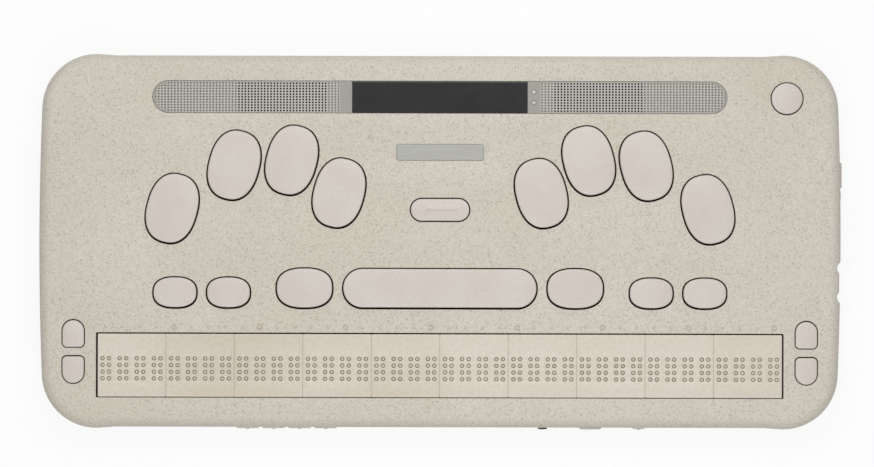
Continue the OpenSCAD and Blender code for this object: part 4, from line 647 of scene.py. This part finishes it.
def makeUpperShell():
    bm = bmesh.new()
    low = case["partZ"]
    inner, ceiling = -case["wall"], deckZ - case["deck"]
    section = [(-upper["land"], deckZ)] + roundEdge(upper["edgeR"], upper["edgeSteps"], 0, deckZ)
    section += [(grow, low - level) for grow, level in roundEdge(upper["seamR"], 3, 0, 0)[::-1]]
    section += [(inner, low)] + roundEdge(upper["innerR"], 4, inner, ceiling)[::-1]
    shell = stackRings(bm, caseRing, section + [(-upper["land"], ceiling)])
    onDeck, onCeiling = [shell[0]], [shell[-1]]
    for _, key, x, y, turn in keyPlaces:
        hole = hollowEdge(upper["keyRim"], 3, key["gap"], 0) + [(key["gap"], -case["deck"])]
        rings = stackRings(bm, keyRing(key), hole, keyPlace(x, y + key["slack"], turn))
        onDeck.append(rings[0])
        onCeiling.append(rings[-1])
    opening = stackRings(bm, barOutline(*display["opening"]),
                         hollowEdge(display["rim"], 3, 0, deckZ) + [(0, ceiling)],
                         Matrix.Translation((0, display["y"] + display["slack"], 0)))
    onDeck.append(opening[0])
    onCeiling.append(opening[-1])
    room = 2 * plate["gap"]
    seat = stackRings(bm, barOutline(plate["length"] + room, plate["width"] + room, plate["cornerR"]),
                      hollowEdge(plate["seatRim"], 2, 0, deckZ) + [(0, deckZ - plate["seat"])],
                      Matrix.Translation((0, plate["y"], 0)))
    onDeck.append(seat[0])
    closeRing(bm, seat[-1])
    pocketZ = deckZ - strip["depth"]
    pocket = stackRings(bm, barOutline(strip["length"], strip["width"], strip["width"] / 2 - endFlat,
                                       strip["endSteps"]),
                        hollowEdge(strip["rim"], 3, strip["gap"], deckZ) + [(strip["gap"], pocketZ)],
                        Matrix.Translation((strip["x"], strip["y"], 0)))
    onDeck.append(pocket[0])
    inPocket = [pocket[-1]]
    behind = [(barOutline(*strip["speaker"]), side * strip["speakerX"], 0) for side in (-1, 1)]
    behind.append((barOutline(*strip["view"]), 0, 0))
    lensHole = roundOutline(strip["lensHoleR"], strip["lensPoints"])
    behind += [(lensHole, strip["lensX"], side * strip["lensY"]) for side in (-1, 1)]
    for outline, x, y in behind:
        rings = stackRings(bm, outline, [(0, pocketZ), (0, ceiling)],
                           Matrix.Translation((x, strip["y"] + y, 0)))
        inPocket.append(rings[0])
        onCeiling.append(rings[-1])
    rise, dotR, out, bore = markers["rise"], markers["dotR"], markers["ringR"], markers["boreR"]
    slope = markers["slope"]
    for i in range(dots["cells"]):
        spot = Matrix.Translation(((i - (dots["cells"] - 1) / 2) * dots["cellPitch"], markers["y"], deckZ))
        if i % markers["group"] == markers["group"] - 1:  # a ring at every fifth cell
            steps = [(0, 0), (-slope, rise), (bore + slope - out, rise), (bore - out, 0)]
            rings = stackRings(bm, roundOutline(out, markers["ringPoints"]), steps, spot)
        else:
            steps = [(-inward * dotR, up * rise) for inward, up in markers["dotPath"]]
            rings = stackRings(bm, roundOutline(dotR, markers["dotPoints"]), steps, spot)
        onDeck.append(rings[0])
        closeRing(bm, rings[-1])
    fillFlat(bm, onDeck)
    fillFlat(bm, inPocket)
    fillFlat(bm, onCeiling, (0, 0, -1))
    bmesh.ops.recalc_face_normals(bm, faces=bm.faces[:])
    for wall, along, height, half, radius in wallOpenings:
        outward = halfW - sideBow(along) if wall == "right" else faceY
        cutWindow(bm, onWall(wall, along, height, outward), half, radius)
    cutNotches(bm)
    for side in (-1, 1):  # the pockets that lead behind the strap bar
        place = onWall("right", notch["y"] + side * notch["pitch"] / 2, controlZ, halfW - notch["deep"])
        rim = cutRect(bm, place, (notch["pocket"], notch["pocket"]), 0, 1)
        made = bmesh.ops.extrude_edge_only(bm, edges=rim)["geom"]
        bmesh.ops.translate(bm, vec=(-notch["pocketDeep"], 0, 0), verts=vertsOf(made))
        bmesh.ops.edgeloop_fill(bm, edges=edgesOf(made))
    return finishPiece(bm, "upper_shell", "case", "speckledPaintedAbs", ["top_case"])


makeUpperShell()
print("upper shell made")


lower = {"edgeR": 3.0, "edgeSteps": 7, "land": 5.6, "seamR": 0.34, "innerR": 0.8, "rim": 0.08,
         "footX": 128.0, "footY": 54.0, "footR": 5.2, "footSeat": 0.5, "screwR": 2.4, "screwSeat": 2.0,
         "screws": ((141, 38), (-141, 38), (133, -61.5), (-133, -61.5), (62, 64), (-62, 64)),
         "coverX": -66.0, "coverY": 18.0, "cover": (117.0, 50.2, 0.6, 4), "coverSeat": 1.0}
foot = {"r": 5.0, "points": 40, "top": 1.5, "edge": 0.45, "dish": ((0.9, 0), (0.4, 0.12))}
footSpots = [(sx * lower["footX"], sy * lower["footY"]) for sx in (-1, 1) for sy in (-1, 1)]


def makeLowerShell():
    bm = bmesh.new()
    low, high, floorZ = case["baseZ"], case["partZ"], case["baseZ"] + case["floor"]
    inner, innerR = -case["wall"], lower["innerR"]
    under = roundEdge(lower["edgeR"], lower["edgeSteps"], 0, high)
    section = [(grow, low + (high - level)) for grow, level in under]
    section += roundEdge(lower["seamR"], 3, 0, high)[::-1]
    section += [(inner, high), (inner, floorZ + innerR), (inner - innerR, floorZ), (-lower["land"], floorZ)]
    shell = stackRings(bm, caseRing, section)
    below = [shell[0]]
    rim = [(grow, 2 * low - level) for grow, level in hollowEdge(lower["rim"], 2, 0, low)]
    recesses = [(lower["coverX"], lower["coverY"], barOutline(*lower["cover"]), lower["coverSeat"])]
    footRing, screwRing = roundOutline(lower["footR"], foot["points"]), roundOutline(lower["screwR"])
    recesses += [(x, y, footRing, lower["footSeat"]) for x, y in footSpots]
    recesses += [(x, y, screwRing, lower["screwSeat"]) for x, y in lower["screws"]]
    for x, y, outline, deep in recesses:  # seats sunk into the underside
        rings = stackRings(bm, outline, rim + [(0, low + deep)], Matrix.Translation((x, y, 0)))
        below.append(rings[0])
        closeRing(bm, rings[-1])
    fillFlat(bm, below, (0, 0, -1))
    fillFlat(bm, [shell[-1]])
    cutNotches(bm)
    return finishPiece(bm, "lower_shell", "case", "speckledPaintedAbs", ["bottom_case"])


makeLowerShell()
print("lower shell made")


cap = {"count": 10, "pitch": 25.6, "width": 25.55, "depth": 23.5, "height": 4.0, "top": 1.2, "skirt": 0.8,
       "land": 1.0, "edge": 0.08, "cornerR": 0.3, "holeR": 0.8, "holePoints": 14, "holeRim": 0.08,
       "endTrim": {-1: 0.22, 1: 0.1}}


def makeCaps():
    bm = bmesh.new()
    low, under, skirt = deckZ - cap["height"], deckZ - cap["top"], -cap["skirt"]
    section = [(-cap["land"], deckZ)] + roundEdge(cap["edge"], 3, 0, deckZ)
    section += [(0, low), (skirt, low), (skirt, under), (-cap["land"], under)]
    block = stackRings(bm, barOutline(cap["width"], cap["depth"], cap["cornerR"], 3), section,
                       Matrix.Translation((0, display["y"], 0)))
    above, beneath = [block[0]], [block[-1]]
    hole = hollowEdge(cap["holeRim"], 2, 0, deckZ) + [(0, under)]
    for i in range(dots["perCap"]):
        for side in (-1, 1):
            for y in dots["rows"]:
                x = (i - (dots["perCap"] - 1) / 2) * dots["cellPitch"] + side * dots["column"]
                rings = stackRings(bm, roundOutline(cap["holeR"], cap["holePoints"]), hole,
                                   Matrix.Translation((x, y, 0)))
                above.append(rings[0])
                beneath.append(rings[-1])
    fillFlat(bm, above)
    fillFlat(bm, beneath, (0, 0, -1))
    last = (cap["count"] - 1) / 2 * cap["pitch"]
    bmesh.ops.translate(bm, vec=(-last, 0, 0), verts=bm.verts[:])
    copyTo(bm, [(i * cap["pitch"], 0, 0) for i in range(1, cap["count"])])
    for vert in bm.verts:  # the outer caps stop a little short of the opening
        if abs(vert.co.x) > last + cap["width"] / 2 - 1.5 * cap["cornerR"]:
            side = math.copysign(1, vert.co.x)
            vert.co.x -= side * cap["endTrim"][side]
    return finishPiece(bm, "reading_caps", "case", "smoothCapAbs", ["braille_caps"])


pin = {"r": 0.69, "points": 10, "collarR": 0.95, "collarLow": 16.85, "collarTop": 17.45, "tip": 19.44,
       "shoulder": 0.5, "crown": ((0, 1), (0.3, 0.4), (0.75, 0))}  # shares of the radius and the shoulder


def makePins(number, side, row):
    node = "dot_%d_pins" % number
    r, collar = pin["r"], pin["collarR"] - pin["r"]
    steps = [(0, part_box(node)[0].z / mm), (0, pin["collarLow"]), (collar, pin["collarLow"]),
             (collar, pin["collarTop"]), (0, pin["collarTop"])]
    steps += [(-inward * r, pin["tip"] - down * pin["shoulder"]) for inward, down in pin["crown"]]
    bm = bmesh.new()
    closeEnds(bm, stackRings(bm, roundOutline(r, pin["points"]), steps))
    start = -(dots["cells"] - 1) / 2 * dots["cellPitch"] + side * dots["column"]
    bmesh.ops.translate(bm, vec=(start, dots["rows"][row], 0), verts=bm.verts[:])
    copyTo(bm, [(i * dots["cellPitch"], 0, 0) for i in range(1, dots["cells"])])
    return finishPiece(bm, node + "_row", node, "turnedAcetalPins", [node], sharp=50)


makeCaps()
for i, (side, row) in enumerate(dots["numbers"]):
    makePins(i + 1, side, row)
print("braille line made")


window = {"outline": (65.4, 11.85, 0.25, 3), "thick": 0.8, "top": 19.4, "edge": 0.1}
lens = {"r": 0.8, "points": 20, "long": 6.0, "top": 19.42, "dome": 0.3}


def makePlate(name, node, outline, material, top, thick, edge, x, y, land=0.3):
    bm = bmesh.new()
    steps = [(0, top - thick)] + roundEdge(edge, 3, 0, top)[::-1] + [(-edge - land, top)]
    closeEnds(bm, stackRings(bm, outline, steps, Matrix.Translation((x, y, 0))))
    return finishPiece(bm, name, "case", material, [node])


grille = {"inner": 32.8, "thick": 0.8, "top": 19.4, "edge": 0.1, "squareR": 0.1, "pitch": (1.2, 1.02),
          "firstX": 38.05, "columns": 60, "rows": 5, "holeR": 0.37, "holeSides": 8, "reach": 5.86}


def cellRing(bm, grow):  # the land round one hole
    verts = bmesh.ops.create_grid(bm, x_segments=1, y_segments=1, size=0.5)["verts"]
    bmesh.ops.scale(bm, vec=(*grille["pitch"], 1), verts=verts)
    bmesh.ops.delete(bm, geom=list(verts[0].link_faces), context="FACES_ONLY")
    return verts


def makeGrilles():  # two punched plates, paler across the hole field
    bm = bmesh.new()
    holeField = bm.faces.layers.float.new("holeField")
    top, low = grille["top"], grille["top"] - grille["thick"]
    stepX, stepY = grille["pitch"]
    halfWidth, tip = strip["width"] / 2, strip["length"] / 2 - abs(strip["x"])
    spots = []
    for i in range(grille["columns"]):
        x = grille["firstX"] + i * stepX
        for j in range(-grille["rows"], grille["rows"] + 1):  # a cell's far corner stays inside the round end
            past = max(x + stepX / 2 - tip + halfWidth, 0)
            if math.hypot(past, (abs(j) + 0.5) * stepY) < grille["reach"]:
                spots += [Vector((side * x, strip["y"] + j * stepY, 0)) for side in (-1, 1)]
    place = Matrix.Translation(spots[0]) @ Matrix.Rotation(math.pi / grille["holeSides"], 4, "Z")
    hole = stackRings(bm, roundOutline(grille["holeR"], grille["holeSides"]), [(0, low), (0, top)], place)
    for rim, level, facing in ((hole[0], low, -1), (hole[1], top, 1)):
        land = stackRings(bm, cellRing, [(0, level)], Matrix.Translation(spots[0]))[0]
        # the land round each hole, above and below, is marked for the paler tone
        for face in fillFlat(bm, [rim, land], (0, 0, facing)):
            face[holeField] = 1.0
    copyTo(bm, [spot - spots[0] for spot in spots[1:]])
    bmesh.ops.remove_doubles(bm, verts=bm.verts[:], dist=near)
    rims = [edge for edge in bm.edges if edge.is_boundary]
    length = strip["length"] / 2 - grille["inner"]

    def sheetRing(bm, grow):
        return barRing(bm, strip["width"] + 2 * grow, length + 2 * grow, halfWidth - endFlat + grow,
                       grille["squareR"], strip["endSteps"])
    for side in (-1, 1):
        place = Matrix.Translation((strip["x"] + side * (grille["inner"] + length / 2), strip["y"], 0))
        sheet = stackRings(bm, sheetRing, [(0, low)] + roundEdge(grille["edge"], 2, 0, top)[::-1],
                           place @ Matrix.Rotation(-side * math.pi / 2, 4, "Z"))  # round at the outer end
        ownRims = [edge for edge in rims if edge.verts[0].co.x * side > 0]
        above = [sheet[-1], [edge for edge in ownRims if edge.verts[0].co.z > low + near]]
        below = [sheet[0], [edge for edge in ownRims if edge.verts[0].co.z < low + near]]
        if side > 0:
            for y in (-strip["lensY"], strip["lensY"]):
                lensHole = stackRings(bm, roundOutline(strip["lensHoleR"], strip["lensPoints"]),
                                      [(0, low), (0, top)],
                                      Matrix.Translation((strip["lensX"], strip["y"] + y, 0)))
                above.append(lensHole[1])
                below.append(lensHole[0])
        fillFlat(bm, above)
        fillFlat(bm, below, (0, 0, -1))
    return finishPiece(bm, "punched_grilles", "case", "paintedPunchedSteel",
                       ["speaker_grilles"])


def makeLenses():
    bm = bmesh.new()
    steps = [(0, lens["top"] - lens["long"])] + roundEdge(lens["dome"], 4, 0, lens["top"])[::-1]
    for side in (-1, 1):
        place = Matrix.Translation((strip["lensX"], strip["y"] + side * strip["lensY"], 0))
        closeEnds(bm, stackRings(bm, roundOutline(lens["r"], lens["points"]), steps, place))
    return finishPiece(bm, "status_lenses", "case", "frostedLensPc", ["indicator_lenses"])


makePlate("message_window", "display_window", barOutline(*window["outline"]),
          "smokedAcrylic", window["top"], window["thick"], window["edge"], strip["x"], strip["y"])
makePlate("plain_plate", "name_plate", barOutline(plate["length"], plate["width"], plate["cornerR"]),
          "brushedAluminiumPlate", deckZ - plate["seat"] + plate["thick"], plate["thick"],
          plate["rim"], 0, plate["y"])
makeGrilles()
makeLenses()
print("window, plate, grilles and lenses made")


def makeButton(name, node, wall, along, size, domed=True):
    bm = bmesh.new()
    place = onWall(wall, along, controlZ, halfW if wall == "right" else faceY)
    steps = [(0, -button["stem"])] + roundEdge(button["edge"], 4, 0, button["proud"])[::-1]
    outline = barOutline(size["width"], size["height"], size["cornerR"], button["cornerSteps"])
    rings = stackRings(bm, outline, steps, place)
    closeRing(bm, rings[0])
    if domed:  # a small dome to find the button by touch
        dome = stackRings(bm, roundOutline(button["domeR"], button["domePoints"]),
                          [(grow, button["proud"] + up) for grow, up in button["dome"]], place)
        fillFlat(bm, [rings[-1], dome[0]], place.to_3x3() @ Vector((0, 0, 1)))
        closeRing(bm, dome[-1])
    else:
        closeRing(bm, rings[-1])
    return finishPiece(bm, name, node, "satinKeyPbt", [node])


def makeSwitch(name, node, switch, material):  # neck through the slot and a ribbed knob outside
    bm = bmesh.new()
    place = onWall("front", switch["x"], controlZ, faceY)
    width, height, proud, lift = switch["width"], switch["height"], switch["proud"], slide["lift"]
    steps = slide["cornerSteps"]
    neck = stackRings(bm, barOutline(switch["neck"], slide["neckHeight"], slide["neckR"], steps),
                      [(0, -slide["stem"]), (0, lift)], place)
    knob = stackRings(bm, barOutline(width, height, slide["knobR"], steps),
                      [(0, lift)] + roundEdge(slide["edge"], 4, 0, proud)[::-1], place)
    closeRing(bm, neck[0])
    fillFlat(bm, [neck[-1], knob[0]], place.to_3x3() @ Vector((0, 0, -1)))
    ribs = max(2, int(width - slide["ribMargin"]))
    bases = [knob[-1]]
    for i in range(ribs):  # grip ribs across the knob
        rib = stackRings(bm, barOutline(slide["ribWidth"], height - slide["ribMargin"], slide["ribR"], 3),
                         [(grow, proud + up) for grow, up in slide["rib"]],
                         place @ Matrix.Translation(((i - (ribs - 1) / 2) * slide["ribPitch"], 0, 0)))
        bases.append(rib[0])
        closeRing(bm, rib[-1])
    fillFlat(bm, bases, place.to_3x3() @ Vector((0, 0, 1)))
    return finishPiece(bm, name, node, material, [node])


for i, x in enumerate(mediaX):
    makeButton("media_key_%d" % (i + 1), "media_button_%d" % (i + 1), "front", x, media)
makeButton("front_push_key", "push_button", "front", pushButton["x"], pushButton)
makeButton("side_rocker", "side_key", "right", sideKey["y"], sideKey, domed=False)
makeSwitch("lock_slider", "lock_switch", lockSwitch, "blackMouldedAbs")
makeSwitch("mode_slider", "mode_switch", modeSwitch, "satinKeyPbt")
print("wall controls made")


def makeFeet():
    bm = bmesh.new()
    steps = [(grow, -level) for grow, level in roundEdge(foot["edge"], 4, 0, 0)] + [(0, foot["top"])]
    for x, y in footSpots:
        rings = stackRings(bm, roundOutline(foot["r"], foot["points"]), steps, Matrix.Translation((x, y, 0)))
        sole = closeRing(bm, rings[0])
        for inset, lift in foot["dish"]:  # a shallow dish in each sole
            bmesh.ops.inset_region(bm, faces=[sole], thickness=inset, use_even_offset=True)
            bmesh.ops.translate(bm, vec=(0, 0, lift), verts=sole.verts[:])
        closeRing(bm, rings[-1])
    return finishPiece(bm, "sole_pads", "case", "greyFootRubber", ["rubber_feet"])


makeFeet()
print("feet made")


cadFinishes = {  # CAD nodes whose shape is right keep it and take a finish
    "speckledPaintedAbs": ["battery_cover"],
    "platedScrewSteel": ["case_screws", "small_screws"],
    "blackMouldedAbs": ["lcd_module", "speakers", "audio_jack"],
    "blackCarrierNylon": ["cell_carriers"],
    "nickelledReed": ["piezo_reeds"],
    "greenBoardLaminate": ["braille_board", "key_board", "main_board", "front_board"],
    # the key mat, coloured as painted shade for the key gaps
    "gapShadeSilicone": ["key_mat"],
    "greyBatteryFilm": ["battery_pack"],
    "drawnPortSteel": ["usb_c_port"],
}
for finish, nodes in cadFinishes.items():
    for node in nodes:
        mesh = frame["nodes"][node].data
        mesh.materials.clear()
        mesh.materials.append(materials[finish])
print("CAD nodes finished with", len(cadFinishes), "finishes")


studio = {"floorSize": 6.0, "floorTone": "#f7f7f6", "floorRough": 0.9, "floorShine": 0.1, "glow": 0.88,
          "worldLevel": 0.36}
lamps = {  # power, place and size
    "soft_box": (1.9, (0.01, 0.28, 0.65), (0.5, 0.3)),
    "fill_box": (1.58, (0.01, -0.33, 0.65), (0.5, 0.3)),
    "rim_box": (0.9, (0.0, 0.9, 0.25), (0.7, 0.2)),
}


def directlySeen(tree):  # 1 for what the camera sees, also in a gloss or through a window
    path = addNode(tree, "ShaderNodeLightPath")
    seen = path.outputs["Is Camera Ray"]
    for ray in ("Is Glossy Ray", "Is Transmission Ray"):
        links = {0: seen, 1: path.outputs[ray]}
        seen = addNode(tree, "ShaderNodeMath", {"operation": "MAXIMUM"}, links).outputs[0]
    return seen


def makeFloor():  # plain paper that the eye sees as white, with a soft shadow
    bm = bmesh.new()
    bmesh.ops.create_grid(bm, x_segments=2, y_segments=2, size=studio["floorSize"] / 2)
    mesh = bpy.data.meshes.new("studio_floor")
    bm.to_mesh(mesh)
    bm.free()
    floor = bpy.data.objects.new("studio_floor", mesh)
    bpy.context.scene.collection.objects.link(floor)
    paper = {"Base Color": hexToLinear(studio["floorTone"]), "Roughness": studio["floorRough"],
             "Specular IOR Level": studio["floorShine"]}
    material, tree, shader, _ = newMaterial("paleStudioPaper", paper)
    glow = addNode(tree, "ShaderNodeEmission", {"Color": (1, 1, 1, 1), "Strength": 1.0})
    part = {"operation": "MULTIPLY", 1: studio["glow"]}
    share = addNode(tree, "ShaderNodeMath", part, {0: directlySeen(tree)})
    blend = addNode(tree, "ShaderNodeMixShader", None,
                    {0: share.outputs[0], 1: shader.outputs[0], 2: glow.outputs[0]})
    tree.links.new(blend.outputs[0], tree.nodes["Material Output"].inputs["Surface"])
    mesh.materials.append(material)


def makeLights():
    for name, (power, place, size) in lamps.items():
        lamp = bpy.data.lights.new(name, "AREA")
        lamp.shape = "RECTANGLE"
        lamp.size, lamp.size_y = size
        lamp.energy = power
        light = bpy.data.objects.new(name, lamp)
        bpy.context.scene.collection.objects.link(light)
        light.location = place
        light.rotation_euler = (-Vector(place)).to_track_quat("-Z", "Y").to_euler()
    world = bpy.data.worlds.new("studio_world")
    bpy.context.scene.world = world
    world.use_nodes = True
    tree = world.node_tree
    sky = tree.nodes["Background"]
    sky.inputs["Color"].default_value = (1, 1, 1, 1)
    span = {"To Min": studio["worldLevel"], "To Max": 1.0}
    level = addNode(tree, "ShaderNodeMapRange", span, {"Value": directlySeen(tree)})
    tree.links.new(level.outputs["Result"], sky.inputs["Strength"])


view = {"frameWidth": 0.3266, "distance": 2.0, "x": -0.00112, "y": 0.00307, "roll": 0.14, "sensor": 36.0,
        "clipEnd": 20}


def makeCamera():
    data = bpy.data.cameras.new("overhead_camera")
    data.sensor_width = view["sensor"]
    data.lens = view["sensor"] * view["distance"] / view["frameWidth"]
    data.clip_end = view["clipEnd"]
    camera = bpy.data.objects.new("overhead_camera", data)
    bpy.context.scene.collection.objects.link(camera)
    camera.location = (view["x"], view["y"], deckZ * mm + view["distance"])
    camera.rotation_euler = (0, 0, math.radians(view["roll"]))
    bpy.context.scene.camera = camera


makeFloor()
makeLights()
makeCamera()
bpy.context.scene.view_settings.view_transform = "Standard"
print("studio and camera made")
